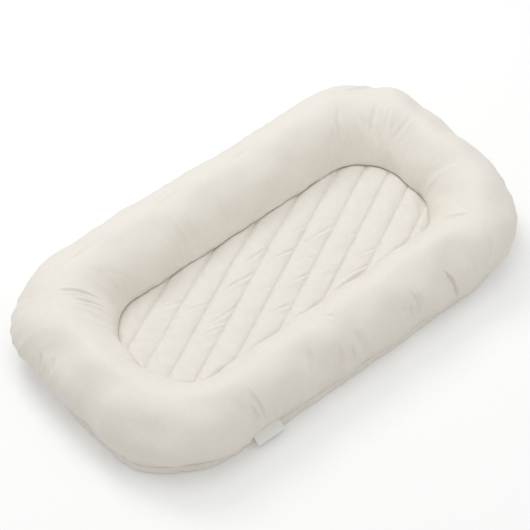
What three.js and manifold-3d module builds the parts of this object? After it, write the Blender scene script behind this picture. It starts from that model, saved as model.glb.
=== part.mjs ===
import * as THREE from 'three';
import * as BufferGeometryUtils from 'three/addons/utils/BufferGeometryUtils.js';
import Module from 'manifold-3d';

// An infant lounger: a padded ring round a quilted centre, with a cover that zips off its insert.
// Millimetres. +X runs along the length, +Y across the width and +Z up from the floor.

// Whole lounger
const LENGTH = 800;
const WIDTH = 450;
const HEIGHT = 120;
const OUTER_CORNER = 148;

// Seam where the ring meets the quilted centre
const PAD_LENGTH = 560;
const PAD_WIDTH = 207;
const PAD_CORNER = 83;
const PAD_SEAM_Z = 36;

// Outer seam, tucked in under the ring, where the underside is sewn on
const FOOT_LENGTH = 760;
const FOOT_WIDTH = 420;
const FOOT_CORNER = 150;
const FOOT_SEAM_Z = 19;

// Section of the ring, with widths as shares of the span from the pad seam to the outer edge
const WIDEST_Z = 50;
const CROWN_AT = 0.48;
const CROWN_POWER = 1.8;
const OVERHANG = 0.04;

// Underside: how high its middle is dished, where the floor takes over from the dish as a share
// of the width, how far in from the foot it turns up, and how far its edge swells out on the way
const DISH = 9;
const FLOOR_FROM = 0.35;
const TURN_UP_FROM = 7;
const TURN_UP_Z = 2.6;
const SWELL = 1.5;
const SWELL_Z = 10;

// Cloth and what lies under it, as depths below the outside of the cover
const COVER_CLOTH = 1.6;
const BASE_CLOTH = 1.4;
const INSERT_CLOTH = 0.8;
const LAYER_GAP = 0.4;

// Quilted centre: straight stitch lines, slanted against the length
const QUILT_ANGLE = THREE.MathUtils.degToRad(26.7);
const QUILT_PITCH = 39.3;
const QUILT_SHIFT = -24.4;
const QUILT_RISE = 6.5;
const STITCH_Z = 35;
const PANEL_UNDER_Z = 33.4;
const PANEL_INSET = 0.9;
const PANEL_EDGE = 24;

// Loose pad under the quilted centre
const PAD_UNDER_Z = 15;
const PAD_TOP_Z = 33;

// Zip, along the middle of the underside
const ZIP_LENGTH = 520;
const SLOT_WIDTH = 12;
const TAPE_WIDTH = 12.3;
const TAPE_END = 2;
const TAPE_GAP = 1.4;
const TAPE_Z = 10.8;
const TAPE_CLOTH = 0.8;
const TEETH_FROM_END = 8;
const TOOTH_PITCH = 5;
const TOOTH_BASE = 0.94;
const TOOTH_REACH = 0.5;
const TOOTH_ROOT = 1;
const COIL_WIDTH = 5.8;
const COIL_Z = 8.4;
const COIL_HEIGHT = 2;
const STOP_LENGTH = 3;
const STOP_DROP = 0.4;
const STOP_GAP = 0.5;

// Slider and its pull
const SLIDER_X = 246;
const SLIDER_LENGTH = 12;
const SLIDER_WIDTH = 9.6;
const SLIDER_TAIL_WIDTH = 8.4;
const SLIDER_SHOULDER = 3;
const SLIDER_PLATE = 0.8;
const SLIDER_WALL = 1.1;
const SLIDER_UNDER_Z = 7.2;
const SLIDER_OVER_Z = 12;
const POST_FROM_NOSE = 1;
const POST_LENGTH = 4;
const POST_WIDTH = 0.8;
const SINK = 0.1;
const BAIL_LENGTH = 6.4;
const BAIL_WIDTH = 1.4;
const BAIL_BAR = 0.9;
const PULL_AXIS_Z = 6.3;
const PULL_LENGTH = 22;
const PULL_WIDTH = 6;
const PULL_PLATE = 1.2;
const PULL_EYE = 3.6;
const PULL_FRAME = 1;
const PULL_CHAMFER = 0.8;
const PULL_TILT = THREE.MathUtils.degToRad(13);

// Side label, a folded loop of tape sewn into the outer seam
const LABEL_X = -181;
const LABEL_WIDTH = 50;
const LABEL_DROP = 8;
const LABEL_LEAN = 13.5;
const LABEL_PLY = 0.5;
const LABEL_GAP = 0.2;
const LABEL_FOLD = 0.64;

// How finely the ring is divided
const CORNER_STEPS = 7;
const LONG_STEPS = 4;
const SHORT_STEPS = 2;

// How finely the quilted panel is divided: rows to a channel, columns along each row, and how
// much of the two tips is cut off straight
const CHANNEL_ROWS = 4;
const CHANNEL_COLUMNS = 16;
const TIP_CUT = 0.6;

// Colours, roughness and metalness, close to the real finishes
const FINISHES = {
  cover_cotton: { color: 0xebe6dd, roughness: 0.9, metalness: 0 },
  panel_cotton: { color: 0xefebe3, roughness: 0.9, metalness: 0 },
  base_cotton: { color: 0xe6e1d7, roughness: 0.92, metalness: 0 },
  label_tape: { color: 0xfafaf8, roughness: 0.6, metalness: 0 },
  zip_tape: { color: 0xe9e4da, roughness: 0.85, metalness: 0 },
  zip_nylon: { color: 0xf1ede4, roughness: 0.4, metalness: 0 },
  zip_metal: { color: 0xc9c6c0, roughness: 0.3, metalness: 0.9 },
  insert_cloth: { color: 0xf6f6f4, roughness: 0.95, metalness: 0 },
  fibre_fill: { color: 0xfbfbfa, roughness: 1, metalness: 0 },
  pad_wadding: { color: 0xf4f3ef, roughness: 1, metalness: 0 },
};

const wasm = await Module();
wasm.setup();

const group = new THREE.Group();
group.name = 'infant_lounger';

// Meshes and solids

// A named piece in its own finish
function addPiece(name, finish, geometry) {
  const mesh = new THREE.Mesh(geometry, new THREE.MeshStandardMaterial(FINISHES[finish]));
  mesh.name = name;
  group.add(mesh);
  return mesh;
}

// A closed body from points and triangles, turned right side out if its volume is negative
function closedBody(points, triangles) {
  let volume = 0;
  for (const [a, b, c] of triangles) {
    volume += points[a].dot(new THREE.Vector3().crossVectors(points[b], points[c]));
  }
  const index = triangles.flatMap(([a, b, c]) => (volume > 0 ? [a, b, c] : [a, c, b]));
  const geometry = new THREE.BufferGeometry().setFromPoints(points);
  geometry.setIndex(index);
  geometry.computeVertexNormals();
  return geometry;
}

// The same body as a solid for joins and cuts
function toSolid(geometry) {
  const bare = geometry.clone();
  bare.deleteAttribute('normal');
  bare.deleteAttribute('uv');
  const merged = BufferGeometryUtils.mergeVertices(bare);
  return new wasm.Manifold(new wasm.Mesh({
    numProp: 3,
    vertProperties: new Float32Array(merged.attributes.position.array),
    triVerts: new Uint32Array(merged.index.array),
  }));
}

// One body out of several that run into each other
function join(geometries) {
  const whole = geometries.map(toSolid).reduce((sum, next) => sum.add(next)).getMesh();
  const geometry = new THREE.BufferGeometry();
  geometry.setAttribute('position', new THREE.BufferAttribute(whole.vertProperties, 3));
  geometry.setIndex(new THREE.BufferAttribute(whole.triVerts, 1));
  geometry.computeVertexNormals();
  return geometry;
}

// A flat outline given thickness upwards from a height
function plate(shape, z, thickness, curveSegments = 4) {
  const options = { depth: thickness, bevelEnabled: false, curveSegments };
  return new THREE.ExtrudeGeometry(shape, options).translate(0, 0, z);
}

function rectangle(x0, y0, x1, y1) {
  const corners = [[x0, y0], [x1, y0], [x1, y1], [x0, y1]];
  return new THREE.Shape(corners.map(([x, y]) => new THREE.Vector2(x, y)));
}

// Plan of the ring

// Rounded rectangles that share their stations: the outer edge, the foot, the pad seam and the
// zip's slot
const OUTER = { x: LENGTH / 2, y: WIDTH / 2, corner: OUTER_CORNER };
const FOOT = { x: FOOT_LENGTH / 2, y: FOOT_WIDTH / 2, corner: FOOT_CORNER };
const SEAM = { x: PAD_LENGTH / 2, y: PAD_WIDTH / 2, corner: PAD_CORNER };
const SLOT = { x: ZIP_LENGTH / 2 + SLOT_WIDTH / 2, y: SLOT_WIDTH / 2, corner: SLOT_WIDTH / 2 - 1 };

// Stations go round anticlockwise: each corner by its angle, each straight by its length
function ringStations() {
  const corners = [[1, 1], [-1, 1], [-1, -1], [1, -1]];
  return corners.flatMap(([sideX, sideY], quarter) => {
    const [nextX, nextY] = corners[(quarter + 1) % 4];
    const straightSteps = nextY === sideY ? LONG_STEPS : SHORT_STEPS;
    const list = [];
    for (let k = 0; k <= CORNER_STEPS; k += 1) {
      const angle = (quarter + k / CORNER_STEPS) * (Math.PI / 2);
      list.push({ sideX, sideY, angle });
    }
    for (let k = 1; k < straightSteps; k += 1) {
      list.push({
        sideX: THREE.MathUtils.lerp(sideX, nextX, k / straightSteps),
        sideY: THREE.MathUtils.lerp(sideY, nextY, k / straightSteps),
        angle: (quarter + 1) * (Math.PI / 2),
      });
    }
    return list;
  });
}

function outlinePoint({ x, y, corner }, { sideX, sideY, angle }) {
  return new THREE.Vector2(
    sideX * (x - corner) + corner * Math.cos(angle),
    sideY * (y - corner) + corner * Math.sin(angle),
  );
}

// Each station knows where the pad seam is, which way is outwards, how wide the ring is there and
// how far out its foot is
const RING = ringStations().map((station) => {
  const inner = outlinePoint(SEAM, station);
  const outward = outlinePoint(OUTER, station).sub(inner);
  const span = outward.length();
  outward.divideScalar(span);
  const foot = outlinePoint(FOOT, station).sub(inner).dot(outward);
  return { station, inner, outward, span, foot };
});

// A section point, x outwards from the pad seam and y up, set at a station
function setAt({ inner, outward }, point) {
  return new THREE.Vector3(
    inner.x + outward.x * point.x,
    inner.y + outward.y * point.x,
    point.y,
  );
}

// A body from one profile at each station, closed on itself or capped at the middle of the plan.
// Each four-cornered patch is split along its shorter diagonal, so that layers have like facets.
function sweepRound(profileAt, closed) {
  const profiles = RING.map(profileAt);
  const count = profiles[0].length;
  const points = profiles.flat();
  const triangles = [];
  const at = (i, j) => (i % RING.length) * count + (j % count);
  const middleAt = (j) => {
    const middle = new THREE.Vector3(0, 0, profiles[0][j].z);
    return points.push(middle) - 1;
  };
  const under = closed ? null : middleAt(0);
  const over = closed ? null : middleAt(count - 1);
  for (let i = 0; i < RING.length; i += 1) {
    for (let j = 0; j < (closed ? count : count - 1); j += 1) {
      const [a, b, c, d] = [at(i, j), at(i + 1, j), at(i + 1, j + 1), at(i, j + 1)];
      if (points[a].distanceTo(points[c]) < points[b].distanceTo(points[d])) {
        triangles.push([a, b, c], [a, c, d]);
      } else {
        triangles.push([a, b, d], [b, c, d]);
      }
    }
    if (!closed) {
      triangles.push([at(i + 1, 0), at(i, 0), under]);
      triangles.push([at(i, count - 1), at(i + 1, count - 1), over]);
    }
  }
  return closedBody(points, triangles);
}

// Sections of the ring

// Outside of the ring, from the foot over the crown and down to the pad seam: a rounded arch above
// its widest height, and parts of ellipses tucked in below it
function archCurve({ span, foot }) {
  const half = CROWN_AT + OVERHANG;
  const reach = 1 - CROWN_AT;
  const outerTurn = Math.acos((foot / span - CROWN_AT) / reach);
  const innerTurn = Math.acos(CROWN_AT / half);
  const outerDrop = (WIDEST_Z - FOOT_SEAM_Z) / Math.sin(outerTurn);
  const innerDrop = (WIDEST_Z - PAD_SEAM_Z) / Math.sin(innerTurn);
  const stretches = [
    { from: -outerTurn, to: 0, steps: 3 },
    { from: 0, to: Math.PI / 2, steps: 5 },
    { from: Math.PI / 2, to: Math.PI, steps: 5 },
    { from: Math.PI, to: Math.PI + innerTurn, steps: 2 },
  ];
  const angles = stretches.flatMap(({ from, to, steps }) => (
    Array.from({ length: steps }, (_, k) => THREE.MathUtils.lerp(from, to, k / steps))
  ));
  angles.push(Math.PI + innerTurn);
  const power = 2 / CROWN_POWER;
  return angles.map((angle) => {
    const c = Math.cos(angle);
    const s = Math.sin(angle);
    const side = c > 0 ? reach : half;
    if (s >= 0) {
      const across = Math.sign(c) * Math.abs(c) ** power;
      const up = (HEIGHT - WIDEST_Z) * s ** power;
      return new THREE.Vector2((CROWN_AT + side * across) * span, WIDEST_Z + up);
    }
    const drop = c > 0 ? outerDrop : innerDrop;
    return new THREE.Vector2((CROWN_AT + side * c) * span, WIDEST_Z + drop * s);
  });
}

// Underside, from the pad seam out to the foot: dished in the middle, flat on the floor, and turned
// up round the edge
function underCurve({ span, foot }, dish) {
  const fall = [0, 0.25, 0.5, 0.75, 1].map((t) => {
    const height = dish * (1 - t * t * (3 - 2 * t));
    return new THREE.Vector2(t * FLOOR_FROM * span, height);
  });
  const turnUp = [
    new THREE.Vector2(foot - TURN_UP_FROM, 0),
    new THREE.Vector2(foot - SWELL / 2, TURN_UP_Z),
    new THREE.Vector2(foot + SWELL, SWELL_Z),
    new THREE.Vector2(foot, FOOT_SEAM_Z),
  ];
  return [...fall, ...turnUp];
}

// A curve moved to its left by an even depth, with its corners mitred
function moveInwards(curve, depth) {
  const normalOf = (a, b) => new THREE.Vector2(a.y - b.y, b.x - a.x).normalize();
  return curve.map((point, i) => {
    const before = normalOf(curve[Math.max(i - 1, 0)], curve[Math.max(i, 1)]);
    const last = curve.length - 1;
    const after = normalOf(curve[Math.min(i, last - 1)], curve[Math.min(i + 1, last)]);
    const mitre = before.clone().add(after).normalize();
    return point.clone().addScaledVector(mitre, depth / mitre.dot(after));
  });
}

// Every second point of a curve, and always its last
function everySecond(curve) {
  return curve.filter((_, i) => i % 2 === 0 || i === curve.length - 1);
}

// An open curve thickened into the closed outline of a layer of cloth
function layer(curve, depth, cloth) {
  return [...moveInwards(curve, depth), ...moveInwards(curve, depth + cloth).reverse()];
}

// Cover

// The sleeve of the ring, turned down along the edge of the quilted centre where they are sewn
function bolsterCover() {
  return sweepRound((place) => {
    const curve = [...archCurve(place), new THREE.Vector2(0, PANEL_UNDER_Z)];
    return layer(curve, 0, COVER_CLOTH).map((point) => setAt(place, point));
  }, true);
}

// The underside sheet, with the zip's slot in its middle
function basePanel() {
  return sweepRound((place) => {
    const edge = outlinePoint(SLOT, place.station);
    const slotUnder = new THREE.Vector3(edge.x, edge.y, DISH);
    const slotOver = new THREE.Vector3(edge.x, edge.y, DISH + BASE_CLOTH);
    const sheet = layer(underCurve(place, DISH), 0, BASE_CLOTH);
    return [slotUnder, ...sheet.map((point) => setAt(place, point)), slotOver];
  }, true);
}

// Distance from a point to the edge of a rounded rectangle, positive inside
function depthInside({ x, y, corner }, point) {
  const dx = Math.abs(point.x) - (x - corner);
  const dy = Math.abs(point.y) - (y - corner);
  const beyond = Math.hypot(Math.max(dx, 0), Math.max(dy, 0));
  return corner - beyond - Math.min(Math.max(dx, dy), 0);
}

// Where a straight line across the panel, parallel to the stitching, meets the panel's edge
function chord(outline, offset) {
  const along = new THREE.Vector2(Math.cos(QUILT_ANGLE), Math.sin(QUILT_ANGLE));
  const across = new THREE.Vector2(Math.sin(QUILT_ANGLE), -Math.cos(QUILT_ANGLE));
  const pointAt = (t) => across.clone().multiplyScalar(offset).addScaledVector(along, t);
  const isInside = (t) => depthInside(outline, pointAt(t)) > 0;
  const reach = outline.x + outline.y;
  const scan = Array.from({ length: 241 }, (_, k) => reach * (k / 120 - 1));
  const deepest = scan.reduce((best, t) => (
    depthInside(outline, pointAt(t)) > depthInside(outline, pointAt(best)) ? t : best
  ));
  const edgeTowards = (far) => {
    let inside = deepest;
    let outside = far;
    for (let k = 0; k < 30; k += 1) {
      const middle = (inside + outside) / 2;
      if (isInside(middle)) inside = middle;
      else outside = middle;
    }
    return pointAt(inside);
  };
  return [edgeTowards(-reach), edgeTowards(reach)];
}

// Height of the quilted top: full channels between the stitch lines, drawn down at the edge
function quiltHeight(outline, point, offset) {
  const share = (offset - QUILT_SHIFT) / QUILT_PITCH;
  const channel = Math.abs(Math.sin(Math.PI * share)) ** 0.7;
  const fromEdge = Math.min(Math.max(depthInside(outline, point), 0) / PANEL_EDGE, 1);
  return STITCH_Z + QUILT_RISE * channel * fromEdge * (2 - fromEdge);
}

// The quilted centre panel, with rows of points along the stitch lines and between them
function quiltedPanel() {
  const outline = {
    x: SEAM.x - PANEL_INSET,
    y: SEAM.y - PANEL_INSET,
    corner: SEAM.corner - PANEL_INSET,
  };
  const tip = (outline.x - outline.corner) * Math.sin(QUILT_ANGLE)
    + (outline.y - outline.corner) * Math.cos(QUILT_ANGLE) + outline.corner - TIP_CUT;
  const step = QUILT_PITCH / CHANNEL_ROWS;
  const firstRow = Math.ceil((step - tip - QUILT_SHIFT) / step);
  const lastRow = Math.floor((tip - step - QUILT_SHIFT) / step);
  const offsets = Array.from({ length: lastRow - firstRow + 1 }, (_, k) => (
    QUILT_SHIFT + (firstRow + k) * step
  ));
  // Rows stand closer together at the two tips, so that the corners there stay round
  for (const share of [0.6, 0.2, 0]) {
    offsets.unshift(share * step - tip);
    offsets.push(tip - share * step);
  }

  const rows = offsets.map((offset) => {
    const [start, end] = chord(outline, offset);
    return Array.from({ length: CHANNEL_COLUMNS + 1 }, (_, k) => {
      const share = (1 - Math.cos((Math.PI * k) / CHANNEL_COLUMNS)) / 2;
      const place = start.clone().lerp(end, share);
      const height = quiltHeight(outline, place, offset);
      return new THREE.Vector3(place.x, place.y, height);
    });
  });
  const points = rows.flat();
  const at = (i, j) => i * (CHANNEL_COLUMNS + 1) + j;
  const triangles = [];
  for (let i = 0; i + 1 < rows.length; i += 1) {
    for (let j = 0; j < CHANNEL_COLUMNS; j += 1) {
      triangles.push([at(i, j), at(i + 1, j), at(i + 1, j + 1)]);
      triangles.push([at(i, j), at(i + 1, j + 1), at(i, j + 1)]);
    }
  }

  // The flat underside has only the points of the edge, each below its own
  const lowered = new Map();
  const below = (i, j) => {
    const index = at(i, j);
    if (!lowered.has(index)) {
      const { x, y } = points[index];
      lowered.set(index, points.push(new THREE.Vector3(x, y, PANEL_UNDER_Z)) - 1);
    }
    return lowered.get(index);
  };
  const wall = (a, b) => {
    triangles.push([at(...a), at(...b), below(...b)], [at(...a), below(...b), below(...a)]);
  };
  const end = rows.length - 1;
  for (let j = 0; j < CHANNEL_COLUMNS; j += 1) {
    wall([0, j], [0, j + 1]);
    wall([end, j + 1], [end, j]);
  }
  const edgeColumns = (i) => (i === 0 || i === end ? [...rows[0].keys()] : [0, CHANNEL_COLUMNS]);
  for (let i = 0; i < end; i += 1) {
    wall([i, CHANNEL_COLUMNS], [i + 1, CHANNEL_COLUMNS]);
    wall([i + 1, 0], [i, 0]);
    edgeColumns(i).forEach((j, k, list) => {
      if (k > 0) {
        triangles.push([below(i, list[k - 1]), below(i, j), below(i + 1, CHANNEL_COLUMNS)]);
      }
    });
    edgeColumns(i + 1).forEach((j, k, list) => {
      if (k > 0) {
        triangles.push([below(i, 0), below(i + 1, j), below(i + 1, list[k - 1])]);
      }
    });
  }
  return closedBody(points, triangles);
}

// Insert

// Upper cloth of the insert, down to its base on both sides of the filling
function insertCaseTop() {
  const depth = COVER_CLOTH + LAYER_GAP;
  return sweepRound((place) => {
    const outer = everySecond(moveInwards(archCurve(place), depth));
    const inner = everySecond(moveInwards(archCurve(place), depth + INSERT_CLOTH));
    const footOuter = new THREE.Vector2(depth, PAD_UNDER_Z);
    const footInner = new THREE.Vector2(depth + INSERT_CLOTH, PAD_UNDER_Z);
    return [...outer, footOuter, footInner, ...inner.reverse()].map((point) => setAt(place, point));
  }, true);
}

// Base of the insert, lifted in the middle so that the zip's slider passes under it
const INSERT_DEPTH = BASE_CLOTH + LAYER_GAP;
const INSERT_DISH = SLIDER_OVER_Z + SLIDER_PLATE + 1 - INSERT_DEPTH;

function insertCaseBase() {
  return sweepRound((place) => {
    const curve = underCurve(place, INSERT_DISH);
    return layer(curve, INSERT_DEPTH, INSERT_CLOTH).map((point) => setAt(place, point));
  }, false);
}

// The filling of the ring, one body inside the insert's cloth
function bolsterFill() {
  const overDepth = COVER_CLOTH + 2 * LAYER_GAP + INSERT_CLOTH;
  const underDepth = INSERT_DEPTH + INSERT_CLOTH + LAYER_GAP;
  return sweepRound((place) => {
    const under = moveInwards(underCurve(place, INSERT_DISH), underDepth);
    const inside = new THREE.Vector2(overDepth, under[0].y);
    const over = everySecond(moveInwards(archCurve(place), overDepth));
    return [inside, ...under.slice(1), ...over].map((point) => setAt(place, point));
  }, true);
}

// The loose pad, drawn in round its upper and lower edges
function centrePad() {
  const middle = (PAD_UNDER_Z + PAD_TOP_Z) / 2;
  const half = (PAD_TOP_Z - PAD_UNDER_Z) / 2;
  const profile = [[-30, -1], [-4, -1], [-1.2, -0.6], [-0.6, 0], [-1.2, 0.6], [-4, 1], [-30, 1]];
  return sweepRound((place) => profile.map(([inset, share]) => (
    setAt(place, new THREE.Vector2(inset, middle + share * half))
  )), false);
}

// Zip

// One tape of the pair, on the side given by the sign
function zipTape(side) {
  const near = (side * TAPE_GAP) / 2;
  const far = side * (TAPE_GAP / 2 + TAPE_WIDTH);
  const end = ZIP_LENGTH / 2 + SLOT_WIDTH / 2 + TAPE_END;
  const shape = rectangle(-end, Math.min(near, far), end, Math.max(near, far));
  return plate(shape, TAPE_Z, TAPE_CLOTH);
}

// One row of pointed teeth, which stands in the gaps of the other row
function zipTeeth(side) {
  const start = TEETH_FROM_END - ZIP_LENGTH / 2;
  const end = SLIDER_X + TOOTH_REACH;
  const back = (side * COIL_WIDTH) / 2;
  const root = side * TOOTH_ROOT;
  const tip = -side * TOOTH_REACH;
  const phase = side > 0 ? TOOTH_PITCH / 2 : 0;
  const count = Math.floor((end - start - phase) / TOOTH_PITCH);
  const outline = [new THREE.Vector2(start, back), new THREE.Vector2(start, root)];
  if (phase > 0) outline.push(new THREE.Vector2(start + phase, root));
  for (let k = 0; k < count; k += 1) {
    const x = start + phase + k * TOOTH_PITCH;
    outline.push(new THREE.Vector2(x + TOOTH_PITCH / 2, tip));
    outline.push(new THREE.Vector2(x + TOOTH_PITCH * TOOTH_BASE, root));
  }
  outline.push(new THREE.Vector2(end, root), new THREE.Vector2(end, back));
  return plate(new THREE.Shape(outline), COIL_Z, COIL_HEIGHT);
}

// A stop clipped under the edge of the tapes at one end of the teeth
function zipStop(x, y0, y1) {
  const shape = rectangle(x, y0, x + STOP_LENGTH, y1);
  return plate(shape, COIL_Z - STOP_DROP, COIL_HEIGHT + STOP_DROP);
}

// Two plates with side walls, the post between the tapes, and the bail that holds the pull
function zipSlider() {
  const half = SLIDER_LENGTH / 2;
  const shoulder = half - SLIDER_SHOULDER;
  const plan = (inset) => {
    const head = SLIDER_WIDTH / 2 - inset;
    const tail = SLIDER_TAIL_WIDTH / 2 - inset;
    const shape = new THREE.Shape();
    shape.moveTo(-half, -tail);
    shape.lineTo(shoulder, -head);
    shape.quadraticCurveTo(half, -head, half, -head / 2);
    shape.lineTo(half, head / 2);
    shape.quadraticCurveTo(half, head, shoulder, head);
    shape.lineTo(-half, tail);
    return shape;
  };
  const wall = (side) => {
    const head = SLIDER_WIDTH / 2;
    const tail = SLIDER_TAIL_WIDTH / 2;
    return new THREE.Shape([
      new THREE.Vector2(-half, side * tail),
      new THREE.Vector2(-half, side * (tail - SLIDER_WALL)),
      new THREE.Vector2(shoulder, side * (head - SLIDER_WALL)),
      new THREE.Vector2(shoulder, side * head),
    ]);
  };
  // The walls stop just under the tapes, and joined parts run a little into each other
  const rise = SLIDER_UNDER_Z + SINK;
  const wallHeight = TAPE_Z - 3 * SINK - rise;
  const postHeight = SLIDER_OVER_Z + SLIDER_PLATE - SINK - rise;
  const nose = half - POST_FROM_NOSE;
  const post = rectangle(nose - POST_LENGTH, -POST_WIDTH / 2, nose, POST_WIDTH / 2);
  const barTop = PULL_AXIS_Z - BAIL_BAR;
  const barUnder = barTop - BAIL_BAR;
  const legs = [-1, 1].map((side) => {
    const outer = side * (BAIL_LENGTH / 2);
    const inner = outer - side * BAIL_BAR;
    const left = Math.min(outer, inner);
    const right = Math.max(outer, inner);
    const shape = rectangle(left, -BAIL_WIDTH / 2, right, BAIL_WIDTH / 2);
    return plate(shape, barUnder, rise - barUnder);
  });
  const bar = rectangle(-BAIL_LENGTH / 2, -BAIL_WIDTH / 2, BAIL_LENGTH / 2, BAIL_WIDTH / 2);
  return join([
    plate(plan(0), SLIDER_UNDER_Z, SLIDER_PLATE),
    plate(plan(3 * SINK), SLIDER_OVER_Z, SLIDER_PLATE),
    plate(wall(-1), rise, wallHeight),
    plate(wall(1), rise, wallHeight),
    plate(post, rise, postHeight),
    ...legs,
    plate(bar, barUnder, BAIL_BAR),
  ]).translate(SLIDER_X, 0, 0);
}

// A rounded tab with a window for the bail, hung on the bail and lying back along the teeth
function zipPull() {
  const half = PULL_WIDTH / 2;
  const start = -PULL_FRAME / 2;
  const shape = new THREE.Shape();
  shape.moveTo(start, -half + PULL_CHAMFER);
  shape.lineTo(start + PULL_CHAMFER, -half);
  shape.lineTo(PULL_LENGTH - half, -half);
  shape.absarc(PULL_LENGTH - half, 0, half, -Math.PI / 2, Math.PI / 2, false);
  shape.lineTo(start + PULL_CHAMFER, half);
  shape.lineTo(start, half - PULL_CHAMFER);
  const window = new THREE.Path();
  const windowStart = start + PULL_FRAME;
  const windowEnd = windowStart + PULL_EYE;
  const windowHalf = (half + SINK) / 2;
  window.moveTo(windowStart, -windowHalf);
  window.lineTo(windowStart, windowHalf);
  window.lineTo(windowEnd, windowHalf);
  window.lineTo(windowEnd, -windowHalf);
  shape.holes.push(window);
  return plate(shape, -PULL_PLATE / 2, PULL_PLATE, 8);
}

// Label

// A strip folded double, hanging from the outer seam with its fold at the bottom
function sideLabel() {
  const top = new THREE.Vector2(-FOOT_WIDTH / 2 - 2 * LABEL_GAP, FOOT_SEAM_Z);
  const down = new THREE.Vector2(-LABEL_LEAN, -LABEL_DROP);
  const out = new THREE.Vector2(down.y, -down.x).normalize();
  const length = down.length();
  const corner = (fromFold, depth) => top.clone().addScaledVector(down, 1 - fromFold / length)
    .addScaledVector(out, depth);
  const back = 2 * LABEL_PLY + LABEL_GAP;
  const front = LABEL_PLY + LABEL_GAP;
  const bend = LABEL_FOLD / 2;
  const inside = 2 * LABEL_FOLD;
  const outline = [
    corner(length, 0), corner(LABEL_FOLD, 0), corner(0, bend), corner(0, back - bend),
    corner(LABEL_FOLD, back), corner(length, back), corner(length, front), corner(inside, front),
    corner(inside, LABEL_PLY), corner(length, LABEL_PLY),
  ];
  return plate(new THREE.Shape(outline), 0, LABEL_WIDTH);
}

addPiece('bolster_cover', 'cover_cotton', bolsterCover());
addPiece('quilted_panel', 'panel_cotton', quiltedPanel());
addPiece('base_panel', 'base_cotton', basePanel());

const label = addPiece('side_label', 'label_tape', sideLabel());
label.quaternion.setFromRotationMatrix(new THREE.Matrix4().makeBasis(
  new THREE.Vector3(0, 1, 0),
  new THREE.Vector3(0, 0, 1),
  new THREE.Vector3(1, 0, 0),
));
label.position.x = LABEL_X - LABEL_WIDTH / 2;

addPiece('zip_tape_front', 'zip_tape', zipTape(-1));
addPiece('zip_tape_back', 'zip_tape', zipTape(1));
addPiece('zip_teeth_front', 'zip_nylon', zipTeeth(-1));
addPiece('zip_teeth_back', 'zip_nylon', zipTeeth(1));

const topStopX = SLIDER_X + SLIDER_LENGTH / 2 + STOP_GAP;
const bottomStopX = TEETH_FROM_END - ZIP_LENGTH / 2 - STOP_LENGTH - STOP_GAP;
addPiece('zip_top_stop_front', 'zip_metal', zipStop(topStopX, -COIL_WIDTH / 2, -STOP_GAP));
addPiece('zip_top_stop_back', 'zip_metal', zipStop(topStopX, STOP_GAP, COIL_WIDTH / 2));
addPiece('zip_bottom_stop', 'zip_metal', zipStop(bottomStopX, -COIL_WIDTH / 2, COIL_WIDTH / 2));
addPiece('zip_slider', 'zip_metal', zipSlider());

const pull = addPiece('zip_pull', 'zip_metal', zipPull());
pull.position.set(SLIDER_X, 0, PULL_AXIS_Z);
pull.rotation.set(0, Math.PI - PULL_TILT, 0);

addPiece('insert_case_top', 'insert_cloth', insertCaseTop());
addPiece('insert_case_base', 'insert_cloth', insertCaseBase());
addPiece('bolster_fill', 'fibre_fill', bolsterFill());
addPiece('centre_pad', 'pad_wadding', centrePad());

export default group;
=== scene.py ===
import math
import bpy
import numpy as np
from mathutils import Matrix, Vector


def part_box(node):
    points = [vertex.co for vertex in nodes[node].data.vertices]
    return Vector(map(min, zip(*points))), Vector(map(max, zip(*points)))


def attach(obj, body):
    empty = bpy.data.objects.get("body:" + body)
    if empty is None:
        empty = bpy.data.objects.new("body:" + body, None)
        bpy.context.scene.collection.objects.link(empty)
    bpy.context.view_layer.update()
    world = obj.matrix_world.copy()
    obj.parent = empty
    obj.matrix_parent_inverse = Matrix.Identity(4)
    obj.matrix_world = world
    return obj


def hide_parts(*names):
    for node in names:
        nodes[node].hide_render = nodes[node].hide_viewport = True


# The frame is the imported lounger, in metres.
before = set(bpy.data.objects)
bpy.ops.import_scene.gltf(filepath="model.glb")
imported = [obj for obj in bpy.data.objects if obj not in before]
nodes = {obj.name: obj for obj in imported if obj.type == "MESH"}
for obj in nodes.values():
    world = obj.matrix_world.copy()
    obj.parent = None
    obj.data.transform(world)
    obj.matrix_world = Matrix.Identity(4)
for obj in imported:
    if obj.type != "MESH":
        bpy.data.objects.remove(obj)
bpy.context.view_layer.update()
scene = bpy.context.scene
scene.view_settings.view_transform = "Standard"

# The camera
# It looks down on the near left corner from a little under three metres, as the photographer did,
# through a long lens, so that the far end is hardly smaller than the near one.
CAMERA_TARGET = np.array([0.0, 0.0168, 0.04])
CAMERA_DISTANCE = 2.794
CAMERA_TURN = math.radians(-40.0)
CAMERA_RISE = math.radians(51.77)
CAMERA_LENS = 121.8

back = np.array([
    math.sin(CAMERA_TURN) * math.cos(CAMERA_RISE),
    -math.cos(CAMERA_TURN) * math.cos(CAMERA_RISE),
    math.sin(CAMERA_RISE),
])
lens = bpy.data.cameras.new("camera")
lens.sensor_fit = "HORIZONTAL"
lens.sensor_width = 36.0
lens.lens = CAMERA_LENS
camera = bpy.data.objects.new("camera", lens)
camera.location = (CAMERA_TARGET + back * CAMERA_DISTANCE).tolist()
camera.rotation_euler = (math.pi / 2 - CAMERA_RISE, 0.0, CAMERA_TURN)
scene.collection.objects.link(camera)
scene.camera = camera

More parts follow.
